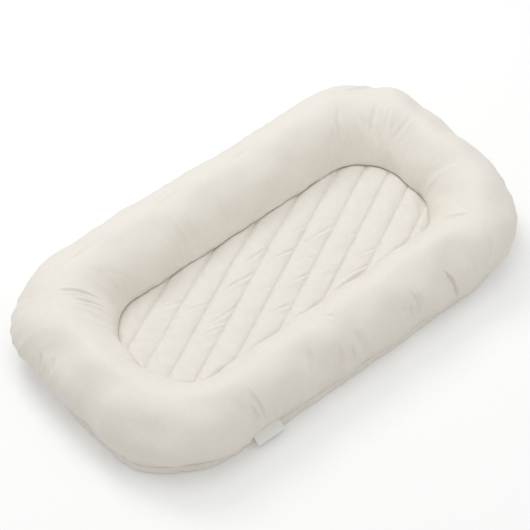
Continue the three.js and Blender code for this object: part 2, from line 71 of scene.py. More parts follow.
# The bolster cover
# A sleeve of plain-woven cream cotton over the stuffed ring, sewn to the base panel along its outer
# edge and to the quilted panel round the well. The filling swells it, and the cloth that is to spare
# puckers along both seams and folds where the ring turns its corners.
cover_low, cover_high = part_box("bolster_cover")
LENGTH = cover_high.x - cover_low.x
WIDTH = cover_high.y - cover_low.y
HEIGHT = cover_high.z
OUTER_CORNER = 0.148
PAD_LENGTH = 0.560
PAD_WIDTH = 0.207
PAD_CORNER = 0.083
PAD_SEAM_Z = 0.036
PAD_SHIFT = np.array([0.006, -0.006])
FOOT_LENGTH = 0.751
FOOT_WIDTH = 0.412
FOOT_CORNER = 0.150
FOOT_SEAM_Z = 0.0155
WIDEST_Z = 0.056
INNER_WIDEST_Z = 0.044
CROWN_AT = 0.48
CROWN_POWER = 1.72
BELLY_POWER = 1.9
BELLY_AT_END = 1.3
BELLY_CHANGES_X = 0.10
BELLY_CHANGES_OVER = 0.10
OVERHANG = 0.04
COVER_CLOTH = 0.0016
COVER_COLOUR = (0.86, 0.82, 0.757)

# The way round the ring is a corner, a long side, a corner, a short side and the same again. One share
# of it is the same place on every outline.
quarter = math.pi / 4 * (OUTER_CORNER + PAD_CORNER)
long_side = (LENGTH + PAD_LENGTH) / 2 - OUTER_CORNER - PAD_CORNER
short_side = (WIDTH + PAD_WIDTH) / 2 - OUTER_CORNER - PAD_CORNER
round_knots = np.cumsum([0.0] + [quarter, long_side, quarter, short_side] * 2)
ROUND = round_knots[-1]


def outline(length, width, corner, share):
    """Points of a rounded rectangle: an even pace along each straight side, then a quarter circle
    at an even turn, where side_x and side_y choose the circle's middle."""
    at = np.mod(share, 1.0) * ROUND
    side_x = np.interp(at, round_knots, [1, 1, -1, -1, -1, -1, 1, 1, 1])
    side_y = np.interp(at, round_knots, [1, 1, 1, 1, -1, -1, -1, -1, 1])
    angle = np.interp(at, round_knots, np.array([0, 1, 1, 2, 2, 3, 3, 4, 4]) * math.pi / 2)
    x = side_x * (length / 2 - corner) + corner * np.cos(angle)
    y = side_y * (width / 2 - corner) + corner * np.sin(angle)
    return np.stack([x, y], -1)


def well_outline(inset, share):
    """The seam round the well in plan, moved inwards by inset."""
    return outline(PAD_LENGTH - 2 * inset, PAD_WIDTH - 2 * inset, PAD_CORNER - inset, share) + PAD_SHIFT


def bell(gap, width, power=2):
    """1 where the gap is 0, falling away over the width: exp(-(gap / width) ** power)."""
    return np.exp(-((gap / width) ** power))


def beyond(gap, width):
    """0 where the gap is 0, rising to 1 over the width: what a bell leaves."""
    return 1 - bell(gap, width)


# A sewn ring isn't quite even. Each bulge moves a line of the ring outwards near one place: its x and
# y, how high it is and how far it reaches.
EDGE_BULGES = [
    (0.395, 0.085, -0.0028, 0.025), (0.376, 0.125, 0.0042, 0.035), (0.325, 0.195, 0.0012, 0.030),
    (0.258, 0.222, -0.0060, 0.030), (0.205, 0.225, -0.0035, 0.035), (0.120, 0.225, -0.0040, 0.050),
    (0.040, 0.225, -0.0025, 0.045), (-0.035, 0.225, -0.0010, 0.035), (-0.110, 0.225, 0.0002, 0.040),
    (-0.165, 0.220, -0.0012, 0.030), (-0.382, 0.148, 0.0085, 0.045), (-0.400, 0.060, -0.0034, 0.035),
    (-0.400, -0.040, -0.0050, 0.050), (-0.385, -0.125, -0.0118, 0.060), (-0.330, -0.195, -0.0085, 0.060),
    (-0.190, -0.225, -0.0060, 0.070), (-0.040, -0.225, -0.0060, 0.080), (0.120, -0.225, -0.0060, 0.080),
    (0.250, -0.225, -0.0040, 0.060), (0.370, -0.160, -0.0050, 0.050), (0.392, -0.060, -0.0065, 0.040),
]
FOOT_BULGES = [
    (-0.382, -0.010, 0.0010, 0.060), (-0.376, -0.120, 0.0080, 0.050), (-0.310, -0.185, -0.0022, 0.045),
    (-0.190, -0.210, -0.0020, 0.050), (-0.140, -0.210, 0.0010, 0.030), (-0.080, -0.210, -0.0015, 0.040),
    (0.000, -0.210, -0.0020, 0.030), (0.215, -0.208, 0.0055, 0.045),
]


def bulged(line, bulges):
    """A line with a bell of each bulge's height added to it, away from the middle of the ring."""
    away = line / np.linalg.norm(line, axis=-1, keepdims=True)
    grown = line.copy()
    for x, y, height, reach in bulges:
        distance = np.linalg.norm(line - np.array([x, y]), axis=-1)
        grown += away * (height * bell(distance, reach))[:, None]
    return grown


def edge_lines(share):
    """The outer edge, pad seam and foot seam of the ring in plan."""
    edge = bulged(outline(LENGTH, WIDTH, OUTER_CORNER, share), EDGE_BULGES)
    foot = bulged(outline(FOOT_LENGTH, FOOT_WIDTH, FOOT_CORNER, share), FOOT_BULGES)
    return edge, well_outline(0.0, share), foot


def spokes(share):
    """The straight lines in plan from the pad seam out to the edge: each one's two ends, direction and
    length, and how far along it the foot seam is."""
    edge, seam, foot = edge_lines(share)
    outward = edge - seam
    span = np.linalg.norm(outward, axis=-1, keepdims=True)
    outward = outward / span
    foot_at = ((foot - seam) * outward).sum(-1, keepdims=True)
    return edge, seam, outward, span, foot_at


def sleeve(share, across):
    """The ring's upper surface without folds, from the foot seam at across 0 over the crown to the pad
    seam at 1. Each section is a flattened ellipse of power CROWN_POWER above its widest heights. Below
    them the outer side draws in to the foot seam as the drop to the power BELLY_POWER, and more towards
    the +X end. The inner side turns in to the pad seam as a plain ellipse."""
    edge, seam, outward, span, foot_at = spokes(share)
    foot_at = foot_at / span
    outer_turn = np.arccos((foot_at - CROWN_AT) / (1 - CROWN_AT))
    inner_turn = math.acos(CROWN_AT / (CROWN_AT + OVERHANG))
    turn = -outer_turn + across[None] * (math.pi + inner_turn + outer_turn)
    c, s = np.cos(turn), np.sin(turn)
    power = 2 / CROWN_POWER
    widest = np.where(c > 0, WIDEST_Z, INNER_WIDEST_Z)
    fall = np.clip(-s / np.where(c > 0, np.sin(outer_turn), math.sin(inner_turn)), 0.0, 1.0)
    seam_z = np.where(c > 0, FOOT_SEAM_Z, PAD_SEAM_Z)
    side = np.where(c > 0, 1 - CROWN_AT, CROWN_AT + OVERHANG)
    upper = CROWN_AT + side * np.sign(c) * np.abs(c) ** power
    towards_end = 0.5 + 0.5 * np.tanh((edge[:, :1] - BELLY_CHANGES_X) / BELLY_CHANGES_OVER)
    belly = BELLY_POWER + BELLY_AT_END * towards_end
    lower = np.where(c > 0, 1 - (1 - foot_at) * fall ** belly, CROWN_AT + side * c)
    along = np.where(s >= 0, upper, lower)
    points = np.empty(turn.shape + (3,))
    points[..., :2] = seam[:, None] + outward[:, None] * (along * span)[..., None]
    points[..., 2] = np.where(s >= 0, widest + (HEIGHT - widest) * np.abs(s) ** power,
                              widest - (widest - seam_z) * fall)
    return points


def run_along(path):
    """How far along a path each of its points is: the sum of the steps before it."""
    return np.concatenate([[0.0], np.cumsum(np.linalg.norm(np.diff(path, axis=0), axis=-1))])


FAR_SIDE_SHARE = 0.3
FINE_STEPS = 2000


def even_across(rows):
    """The values of across at which a section of the far long side is cut into rows of equal length,
    and that section's length."""
    fine = np.linspace(0.0, 1.0, FINE_STEPS)
    run = run_along(sleeve(np.array([FAR_SIDE_SHARE]), fine)[0])
    return np.interp(np.linspace(0.0, run[-1], rows), run, fine), run[-1]


def normals_of(points):
    """Outward unit normals of a grid that closes along its first axis: the cross product of the
    central differences both ways."""
    along = np.roll(points, -1, 0) - np.roll(points, 1, 0)
    across = np.gradient(points, axis=1)
    normal = np.cross(along, across)
    return normal / np.maximum(np.linalg.norm(normal, axis=-1, keepdims=True), 1e-12)


def waves(points, shortest, longest, count, seed):
    """A smooth bumpy field of about unit height: the sum of `count` plane waves in random directions,
    with lengths from shortest to longest."""
    chance = np.random.default_rng(seed)
    direction = chance.normal(size=(count, 3))
    direction /= np.linalg.norm(direction, axis=1, keepdims=True)
    length = np.exp(chance.uniform(math.log(shortest), math.log(longest), count))
    start = chance.uniform(0, 2 * math.pi, count)
    field = np.zeros(points.shape[:-1])
    for k in range(count):
        field += np.cos(points @ (direction[k] * 2 * math.pi / length[k]) + start[k])
    return field * math.sqrt(2 / count)


def seam_waves(share, shortest, longest, count, seed):
    """The same along one seam: a sum of waves that each fit a whole number of times round the ring."""
    chance = np.random.default_rng(seed)
    times = chance.integers(int(ROUND / longest), int(ROUND / shortest) + 1, count)
    start = chance.uniform(0, 2 * math.pi, count)
    field = np.cos(share[:, None] * 2 * math.pi * times[None] + start[None]).sum(1)
    return (field * math.sqrt(2 / count))[:, None]


def grid_faces(columns, rows, around=False, over=False):
    """The four corners of each face of a grid of points, from a point to the next column, the next row
    and back. `around` joins the last column to the first, and `over` the last row to the first."""
    column, row = np.meshgrid(np.arange(columns if around else columns - 1),
                              np.arange(rows if over else rows - 1), indexing="ij")
    steps = ((0, 0), (1, 0), (1, 1), (0, 1))
    corners = [(column + a) % columns * rows + (row + b) % rows for a, b in steps]
    return np.stack(corners, -1).reshape(-1, 4)


# The cotton is light, stiff along its threads and soft to bend. Where it is slack it grows by
# CLOTH_GROWTH, and the filling presses on it from inside.
CLOTH_GROWTH = 0.08
CLOTH_RULE = {
    "quality": 5, "mass": 0.3, "air_damping": 1,
    "tension_stiffness": 50, "compression_stiffness": 50, "shear_stiffness": 12, "bending_stiffness": 1,
    "tension_damping": 5, "compression_damping": 5, "shear_damping": 5, "bending_damping": 0.5,
    "shrink_min": -CLOTH_GROWTH, "shrink_max": 0.0, "vertex_group_shrink": "firm",
    "vertex_group_mass": "held", "use_pressure": True, "uniform_pressure_force": 12.0,
}
SETTLE_FRAMES = 20
SLACK_LEVELS = 20
START_SIZE = 0.985
DENT_DEPTH = 0.0004


def settle_cloth(points, slack):
    """How far a swollen sleeve moves when it settles between its two seams: simulated cloth, held along
    both edges, blown up from inside, and grown where slack is 1. It starts a little shrunk and dented."""
    columns, rows = slack.shape
    middle = points.mean(axis=1, keepdims=True)
    start = middle + (points - middle) * START_SIZE
    start[:, 0] = points[:, 0]
    start[:, -1] = points[:, -1]
    dents = waves(points, 0.025, 0.12, 40, 3) * DENT_DEPTH * np.sin(np.linspace(0, math.pi, rows))
    start = start + normals_of(points) * dents[..., None]
    mesh = bpy.data.meshes.new("settling")
    mesh.from_pydata(start.reshape(-1, 3).tolist(), [], grid_faces(columns, rows, around=True).tolist())
    sheet = bpy.data.objects.new("settling", mesh)
    scene.collection.objects.link(sheet)
    held = sheet.vertex_groups.new(name="held")
    first_row = np.arange(columns) * rows
    held.add(np.concatenate([first_row, first_row + rows - 1]).tolist(), 1.0, "REPLACE")
    firm = sheet.vertex_groups.new(name="firm")
    level = np.round((1 - slack.ravel()) * SLACK_LEVELS).astype(int)
    for step in range(SLACK_LEVELS + 1):
        firm.add(np.nonzero(level == step)[0].tolist(), step / SLACK_LEVELS, "REPLACE")
    cloth = sheet.modifiers.new("cloth", "CLOTH")
    for key, value in CLOTH_RULE.items():
        setattr(cloth.settings, key, value)
    cloth.settings.effector_weights.gravity = 0
    cloth.collision_settings.use_collision = False
    cloth.collision_settings.use_self_collision = False
    cloth.point_cache.frame_start = 1
    cloth.point_cache.frame_end = SETTLE_FRAMES
    for frame_number in range(1, SETTLE_FRAMES + 1):
        scene.frame_set(frame_number)
    settled = sheet.evaluated_get(bpy.context.evaluated_depsgraph_get()).to_mesh()
    place = np.empty(columns * rows * 3)
    settled.vertices.foreach_get("co", place)
    scene.frame_set(1)
    bpy.data.objects.remove(sheet)
    return place.reshape(columns, rows, 3) - points


def cubic(values, places, closed):
    """Values between the points of a row, by the cubic through the four nearest ones. A closed row
    goes on at its start, and an open one repeats its ends."""
    low = np.floor(places).astype(int)
    t = (places - low).reshape((-1,) + (1,) * (values.ndim - 1))
    count = len(values)
    picks = [low + k for k in (-1, 0, 1, 2)]
    picks = [pick % count if closed else np.clip(pick, 0, count - 1) for pick in picks]
    a, b, c, d = [values[pick] for pick in picks]
    return b + 0.5 * t * (c - a + t * (2 * a - 5 * b + 4 * c - d + t * (3 * (b - c) + d - a)))


def spread(field, columns, rows):
    """A coarser grid's field on a finer one: cubics round the ring, then across it."""
    field = cubic(field, np.arange(columns) * len(field) / columns, True)
    turned = np.swapaxes(field, 0, 1)
    turned = cubic(turned, np.linspace(0, turned.shape[0] - 1, rows), False)
    return np.swapaxes(turned, 0, 1)


def eased(t):
    """A smooth step from 0 to 1: t * t * (3 - 2t)."""
    return t * t * (3 - 2 * t)


CREASE_TAPER = 0.32
VALLEY_POWER = 1.6
RIDGE_HEIGHT = 0.45
RIDGE_AT = 2.0
RIDGE_WIDTH = 0.9


def crease(points, path, width):
    """A line of slack cloth pressed into a valley: 0 far away and -1 at the bottom, with a low ridge
    along each side, all bells of the distance to the path over the width. The path's points are first
    moved to the surface. It fades out over the share CREASE_TAPER of its length at each end."""
    flat = points.reshape(-1, 3)
    near = np.array([flat[np.linalg.norm(flat - np.array(p), axis=1).argmin()] for p in path])
    before = run_along(near)
    best = np.full(len(flat), np.inf)
    at = np.zeros(len(flat))
    for k, step in enumerate(np.diff(before)):
        direction = (near[k + 1] - near[k]) / step
        along = np.clip((flat - near[k]) @ direction, 0.0, step)
        distance = np.linalg.norm(flat - near[k] - along[:, None] * direction, axis=1)
        closer = distance < best
        best[closer] = distance[closer]
        at[closer] = (before[k] + along[closer]) / before[-1]
    reach = best / width
    shape = RIDGE_HEIGHT * bell(reach - RIDGE_AT, RIDGE_WIDTH) - bell(reach, 1.0, VALLEY_POWER)
    fade = eased(np.clip(np.minimum(at, 1 - at) / CREASE_TAPER, 0.0, 1.0))
    return (shape * fade).reshape(points.shape[:-1])


SIM_COLUMNS = 320
SIM_ROWS = 64
COVER_COLUMNS = 1200
COVER_ROWS = 128
LINING_ROWS = 16
FOLD_LIMIT = 0.0045
FOLD_SHARE = 0.30
FOOT_HOLD = 0.030
SEAM_SLACK = 0.9
FOOT_SLACK_REACH = 0.024
PAD_SLACK_REACH = 0.020
CORNER_SLACK = 0.3
CORNER_SLACK_REACH = 0.070
CORNER_HALF_LENGTH = 0.085


def sleeve_slack(share, across_length):
    """Where the sleeve has cloth to spare: a bell beside each seam, and a wide one on the inner side of
    each corner, where a straight strip is gathered to a shorter curve."""
    run = np.linspace(0.0, across_length, SIM_ROWS)
    beside = np.maximum(bell(run, FOOT_SLACK_REACH), bell(across_length - run, PAD_SLACK_REACH))
    middles = (round_knots[0:-1:2] + round_knots[1::2]) / 2
    gap = np.abs(np.mod((share * ROUND)[:, None] - middles[None] + ROUND / 2, ROUND) - ROUND / 2).min(1)
    corner = bell(gap, CORNER_HALF_LENGTH, 4)[:, None]
    corner = corner * bell(across_length - run, CORNER_SLACK_REACH)[None]
    return np.clip(np.maximum(SEAM_SLACK * beside[None], CORNER_SLACK * corner), 0, 1)


cover_share = np.arange(COVER_COLUMNS) / COVER_COLUMNS
ring_run = np.append(cover_share, 1.0) * ROUND
cover_across, across_length = even_across(COVER_ROWS)
cover_base = sleeve(cover_share, cover_across)
cover_out = normals_of(cover_base)
sim_share = np.arange(SIM_COLUMNS) / SIM_COLUMNS
sim_base = sleeve(sim_share, even_across(SIM_ROWS)[0])
settled = settle_cloth(sim_base, sleeve_slack(sim_share, across_length))
settled = settled - settled.mean(axis=0, keepdims=True)
settled = spread(settled, COVER_COLUMNS, COVER_ROWS)
moved = np.linalg.norm(settled, axis=-1, keepdims=True)
settled = settled * FOLD_SHARE * np.tanh(moved / FOLD_LIMIT) * FOLD_LIMIT / np.maximum(moved, 1e-9)
run = np.linspace(0.0, across_length, COVER_ROWS)[None]
to_pad = across_length - run
settled *= beyond(run, FOOT_HOLD)[..., None]

# The filling is lumpy, and less so on the far side and close to the seams.
FAR_SIDE_Y = 0.17
LUMP_HEIGHT = 0.0020
FAR_LUMP_HEIGHT = 0.0011
SMALL_LUMP_HEIGHT = 0.0002
LUMPS_FROM_FOOT = 0.010
LUMPS_FROM_PAD = 0.012
lumps = np.where(cover_base[..., 1] < FAR_SIDE_Y, LUMP_HEIGHT, FAR_LUMP_HEIGHT)
detail = lumps * waves(cover_base, 0.05, 0.15, 50, 11)
detail += SMALL_LUMP_HEIGHT * waves(cover_base, 0.03, 0.07, 60, 12)
detail *= beyond(run, LUMPS_FROM_FOOT) * beyond(to_pad, LUMPS_FROM_PAD)

# Folds that show in the cover, each a line over the cloth with its depth and half width.
COVER_FOLDS = [
    ([(-0.318, 0.132, 0.119), (-0.299, 0.122, 0.117), (-0.280, 0.108, 0.111), (-0.255, 0.088, 0.086)],
     0.0034, 0.0021),
    ([(-0.300, 0.102, 0.114), (-0.280, 0.092, 0.108), (-0.260, 0.078, 0.082)], 0.0028, 0.0021),
    ([(0.236, -0.112, 0.098), (0.246, -0.128, 0.113), (0.258, -0.144, 0.118), (0.272, -0.160, 0.120)],
     0.0032, 0.0021),
    ([(0.168, -0.198, 0.104), (0.174, -0.207, 0.096), (0.179, -0.216, 0.083), (0.181, -0.222, 0.069),
      (0.184, -0.221, 0.048), (0.184, -0.214, 0.028)], 0.0056, 0.0019),
    ([(0.099, -0.189, 0.110), (0.106, -0.206, 0.095), (0.108, -0.219, 0.074), (0.102, -0.223, 0.052)],
     0.0028, 0.0020),
    ([(0.110, -0.198, 0.103), (0.115, -0.212, 0.089), (0.112, -0.221, 0.072)], 0.0018, 0.0020),
    ([(0.092, -0.204, 0.096), (0.094, -0.216, 0.080), (0.090, -0.222, 0.058)], 0.0022, 0.0020),
    ([(-0.203, -0.177, 0.117), (-0.201, -0.191, 0.108), (-0.197, -0.206, 0.094), (-0.196, -0.216, 0.076),
      (-0.197, -0.219, 0.045)], 0.0026, 0.0020),
    ([(-0.213, -0.194, 0.106), (-0.208, -0.208, 0.091), (-0.206, -0.216, 0.077), (-0.206, -0.219, 0.045)],
     0.0024, 0.0020),
    ([(0.262, 0.146, 0.115), (0.246, 0.128, 0.111), (0.233, 0.104, 0.088)], 0.0018, 0.0040),
    ([(0.318, 0.112, 0.115), (0.295, 0.094, 0.113), (0.276, 0.080, 0.090)], 0.0016, 0.0035),
    ([(0.330, 0.090, 0.115), (0.304, 0.074, 0.113), (0.286, 0.062, 0.090)], 0.0012, 0.0035),
    ([(0.345, 0.052, 0.115), (0.319, 0.049, 0.117), (0.290, 0.048, 0.095)], 0.0014, 0.0032),
    ([(0.371, 0.001, 0.105), (0.366, -0.015, 0.109)], 0.0020, 0.0026),
    ([(-0.088, -0.180, 0.115), (-0.090, -0.197, 0.103), (-0.094, -0.211, 0.086), (-0.099, -0.219, 0.050)],
     0.0030, 0.0050),
    ([(-0.041, -0.198, 0.101), (-0.043, -0.208, 0.088), (-0.045, -0.216, 0.072), (-0.046, -0.219, 0.040)],
     0.0028, 0.0021),
    ([(-0.021, -0.203, 0.095), (-0.022, -0.212, 0.082), (-0.022, -0.217, 0.068), (-0.022, -0.219, 0.040)],
     0.0024, 0.0021),
    ([(-0.013, -0.197, 0.105), (-0.007, -0.209, 0.092), (-0.006, -0.219, 0.076), (-0.008, -0.223, 0.056)],
     0.0024, 0.0060),
    ([(-0.040, -0.150, 0.120), (-0.030, -0.160, 0.120), (-0.022, -0.172, 0.117)], 0.0018, 0.0026),
    ([(0.266, -0.198, 0.104), (0.265, -0.210, 0.091), (0.257, -0.219, 0.077), (0.248, -0.224, 0.064)],
     0.0028, 0.0050),
    ([(0.223, -0.204, 0.100), (0.225, -0.214, 0.088), (0.224, -0.222, 0.072), (0.219, -0.224, 0.054)],
     0.0020, 0.0050),
    ([(-0.236, -0.182, 0.115), (-0.229, -0.191, 0.110), (-0.225, -0.203, 0.100), (-0.226, -0.215, 0.084)],
     0.0012, 0.0060),
    ([(-0.382, 0.072, 0.093), (-0.390, 0.065, 0.082), (-0.396, 0.058, 0.069)], 0.0024, 0.0030),
    ([(-0.377, 0.051, 0.099), (-0.385, 0.043, 0.090), (-0.392, 0.036, 0.080)], 0.0020, 0.0030),
    ([(0.243, 0.128, 0.111), (0.240, 0.112, 0.098), (0.236, 0.100, 0.083)], 0.0020, 0.0035),
    ([(0.276, 0.128, 0.116), (0.276, 0.102, 0.105), (0.272, 0.083, 0.090)], 0.0012, 0.0040),
]
for path, depth, width in COVER_FOLDS:
    detail += depth * crease(cover_base, path, width)


def gathered_places(seed):
    """Where along a seam the sewing has gathered the cloth: broad waves, pushed to 0 and 1 by tanh."""
    return 0.5 + 0.5 * np.tanh(1.5 * seam_waves(cover_share, 0.12, 0.40, 20, seed))


# Soft folds run across the ring from one seam towards the other, where the sewing has gathered it:
# waves along each seam that fade away from it, sharper in their valleys than on their crests.
PAD_FOLD_DEPTH = 0.0013
PAD_FOLD_REACH = 0.085
PAD_FOLD_START = 0.025
FOOT_FOLD_DEPTH = 0.0026
FOOT_FOLD_REACH = 0.075
FOOT_FOLD_START = 0.016
FOOT_FOLDS_LEAST = 0.3
FOLD_POWER = 0.8
PUCKER_DEPTH = 0.0003
PUCKER_REACH = 0.014
PUCKER_START = 0.004
pad_folds = np.abs(seam_waves(cover_share, 0.034, 0.090, 60, 13)) ** FOLD_POWER
foot_folds = np.abs(seam_waves(cover_share, 0.030, 0.090, 60, 14)) ** FOLD_POWER
where_pad = gathered_places(15)
where_foot = gathered_places(16)
pad_fade = bell(to_pad, PAD_FOLD_REACH) * beyond(to_pad, PAD_FOLD_START)
foot_fade = bell(run, FOOT_FOLD_REACH) * beyond(run, FOOT_FOLD_START)
foot_share = FOOT_FOLDS_LEAST + (1 - FOOT_FOLDS_LEAST) * where_foot
detail -= PAD_FOLD_DEPTH * pad_folds * where_pad * pad_fade
detail -= FOOT_FOLD_DEPTH * foot_folds * foot_share * foot_fade
pucker = seam_waves(cover_share, 0.007, 0.018, 60, 17) * where_foot
detail += PUCKER_DEPTH * pucker * bell(run, PUCKER_REACH) * beyond(run, PUCKER_START)

# Where the outer seam has caught a pleat: its place in plan.
PLEATS = [
    (-0.315, -0.170), (-0.373, -0.102), (-0.375, 0.094), (-0.367, 0.080), (-0.374, 0.144),
    (-0.233, -0.199), (-0.210, -0.200), (-0.156, -0.204),
]
PLEAT_DEPTH = 0.0022
PLEAT_WIDTH = 0.0032
PLEAT_REACH = 0.012
foot_line = edge_lines(cover_share)[2]
half_round = COVER_COLUMNS // 2
pleats = np.zeros((COVER_COLUMNS, 1))
for place in PLEATS:
    caught = np.linalg.norm(foot_line - np.array(place), axis=1).argmin()
    steps = (np.arange(COVER_COLUMNS)[:, None] - caught + half_round) % COVER_COLUMNS - half_round
    pleats += PLEAT_DEPTH * bell(steps * ROUND / COVER_COLUMNS, PLEAT_WIDTH)
detail -= pleats * bell(run, PLEAT_REACH)

# The first few millimetres of cloth swell out from the foot seam, which leaves it in a narrow groove,
# and both cloths turn inwards there.
SEAM_SWELL = 0.0016
SWELL_START = 0.003
SWELL_REACH = 0.020
SEAM_DEPTH = 0.003
detail += SEAM_SWELL * beyond(run, SWELL_START) * bell(run, SWELL_REACH)
detail[:, 0] = 0.0
detail[:, -1] = 0.0

# Where a line of the quilting ends at the near side of the well, its thread holds the seam in, so that
# the ring's inner side stands forward there and draws back before it. Each row is a place along the
# lounger and how far the side has drawn back.
NEAR_WELL = np.array([
    (-0.260, 0.0), (-0.170, 0.0032), (-0.150, 0.0), (-0.079, 0.0048), (-0.064, 0.0), (-0.003, 0.0048),
    (0.012, 0.0), (0.080, 0.0046), (0.091, 0.0), (0.171, 0.0030), (0.183, 0.0), (0.260, 0.0),
])
NEAR_WELL_Y = -0.07
NEAR_WELL_OVER = 0.02
DRAWN_START = 0.015
DRAWN_REACH = 0.085
drawn_back = np.interp(cover_base[..., 0], NEAR_WELL[:, 0], NEAR_WELL[:, 1])
drawn_back *= np.clip((NEAR_WELL_Y - cover_base[..., 1]) / NEAR_WELL_OVER, 0.0, 1.0)
drawn_back *= beyond(to_pad, DRAWN_START) * bell(to_pad, DRAWN_REACH, 4)
cover_skin = cover_base + settled + cover_out * detail[..., None]
cover_skin[..., 1] -= drawn_back
cover_skin[:, 0, :2] -= SEAM_DEPTH * spokes(cover_share)[2]


def lowest(field, reach):
    """The lowest value of a field within `reach` grid steps both ways, closed along the first axis."""
    low = np.minimum.reduce([np.roll(field, k, 0) for k in range(-reach, reach + 1)])
    edged = np.pad(low, ((0, 0), (reach, reach)), mode="edge")
    rows = field.shape[1]
    return np.minimum.reduce([edged[:, k:k + rows] for k in range(2 * reach + 1)])


def add_mesh(name, points, faces, uv=None):
    """A new object whose mesh has the given corners, faces and, for each face corner, place in the
    cloth in metres."""
    mesh = bpy.data.meshes.new(name)
    mesh.from_pydata(np.asarray(points).reshape(-1, 3).tolist(), [], faces)
    if uv is not None:
        layer = mesh.uv_layers.new(name="cloth")
        layer.data.foreach_set("uv", np.asarray(uv, np.float32).ravel())
    mesh.polygons.foreach_set("use_smooth", [True] * len(mesh.polygons))
    mesh.update()
    piece = bpy.data.objects.new(name, mesh)
    scene.collection.objects.link(piece)
    return piece


def cloth_places(along, across):
    """The place in the cloth at each point of a grid: one value for its column and one for its row."""
    return np.stack(np.meshgrid(along, across, indexing="ij"), -1).reshape(-1, 2)


def add_hoop(name, points, along, across, closed=True):
    """A grid that closes round the ring, and round its section too where `closed` says so, or else is
    capped by its first and last rows. along and across give the place in the cloth, with one more value
    than there are corners where the grid closes."""
    columns, rows = points.shape[:2]
    faces = grid_faces(columns, rows, around=True, over=closed).tolist()
    uv = cloth_places(along, across)[grid_faces(len(along), len(across)).ravel()]
    if not closed:
        start = np.arange(columns)[::-1] * rows
        end = np.arange(columns) * rows + rows - 1
        faces += [start.tolist(), end.tolist()]
        plan = points.reshape(-1, 3)[:, :2]
        uv = np.concatenate([uv, plan[start], plan[end]])
    return add_mesh(name, points, faces, uv)


def out_and_back(length, rows_out, rows_back):
    """Places across a cloth that goes out over its length and back to its start."""
    return np.concatenate([np.linspace(0, length, rows_out), np.linspace(length, 0, rows_back), [0.0]])


# The cover's inner side has fewer rows, and follows the deepest places near each one.
LEAST_UNDER = 0.0002
below = ((cover_skin - cover_base) * cover_out).sum(-1)
deepest = np.minimum(lowest(below, 4), below - LEAST_UNDER)
lining = cover_base + cover_out * (deepest - COVER_CLOTH)[..., None]
lining = lining[:, np.round(np.linspace(COVER_ROWS - 1, 0, LINING_ROWS)).astype(int)]
cover = add_hoop("bolster_cotton", np.concatenate([cover_skin, lining], axis=1), ring_run,
                 out_and_back(across_length, COVER_ROWS, LINING_ROWS))


def set_inputs(tree, node, inputs):
    """Sets a node's inputs. Each is a number, a vector or colour, or an output to link from."""
    for key, value in inputs.items():
        if isinstance(value, bpy.types.NodeSocket):
            tree.links.new(value, node.inputs[key])
        else:
            node.inputs[key].default_value = value


def add_node(tree, kind, inputs=None, **settings):
    """A node with its settings and inputs."""
    made = tree.nodes.new(kind)
    for name, value in settings.items():
        setattr(made, name, value)
    set_inputs(tree, made, inputs or {})
    return made


def calculate(tree, operation, *values):
    """The result of one step of arithmetic on numbers or outputs."""
    return add_node(tree, "ShaderNodeMath", dict(enumerate(values)), operation=operation).outputs[0]


def noise(tree, place, scale, detail, **inputs):
    """A cloudy value from 0 to 1 over a place."""
    inputs.update(Vector=place, Scale=scale, Detail=detail)
    return add_node(tree, "ShaderNodeTexNoise", inputs).outputs["Fac"]


def stretched(tree, place, factors):
    """A place times a factor each way, which draws a pattern out where the factor is under 1."""
    return add_node(tree, "ShaderNodeVectorMath", {0: place, 1: factors}, operation="MULTIPLY").outputs[0]


def remapped(tree, value, low, high, to_low=0.0, to_high=1.0):
    """A value moved from one range to another, and held within it."""
    return add_node(tree, "ShaderNodeMapRange", {
        "Value": value, "From Min": low, "From Max": high, "To Min": to_low, "To Max": to_high}).outputs[0]


def blended(tree, share, first, second):
    """A colour between two others."""
    return add_node(tree, "ShaderNodeMix", {0: share, 6: first, 7: second}, data_type="RGBA").outputs[2]


def embossed(tree, height, distance, strength, **normal):
    """A normal tilted by a height."""
    return add_node(tree, "ShaderNodeBump", {
        "Height": height, "Distance": distance, "Strength": strength, **normal}).outputs[0]


def shaded(colour, factor):
    """A colour times one factor, or one for each of its parts, and opaque."""
    return np.minimum(np.array(colour[:3]) * factor, 1.0).tolist() + [1.0]


def new_material(name):
    """A new material, its nodes and its shader."""
    made = bpy.data.materials.new(name)
    made.use_nodes = True
    return made, made.node_tree, made.node_tree.nodes["Principled BSDF"]


def new_group(name, inputs, outputs):
    """An empty node group with its inputs, of a kind each, and its outputs, which are numbers."""
    group = bpy.data.node_groups.new(name, "ShaderNodeTree")
    for label, kind in inputs.items():
        group.interface.new_socket(label, in_out="INPUT", socket_type="NodeSocket" + kind)
    for label in outputs:
        group.interface.new_socket(label, in_out="OUTPUT", socket_type="NodeSocketFloat")
    return group, group.nodes.new("NodeGroupInput").outputs, group.nodes.new("NodeGroupOutput")


def placed(tree, group, **inputs):
    """The outputs of a group placed in a material, with its inputs."""
    named = {key.replace("_", " "): value for key, value in inputs.items()}
    return add_node(tree, "ShaderNodeGroup", named, node_tree=group).outputs


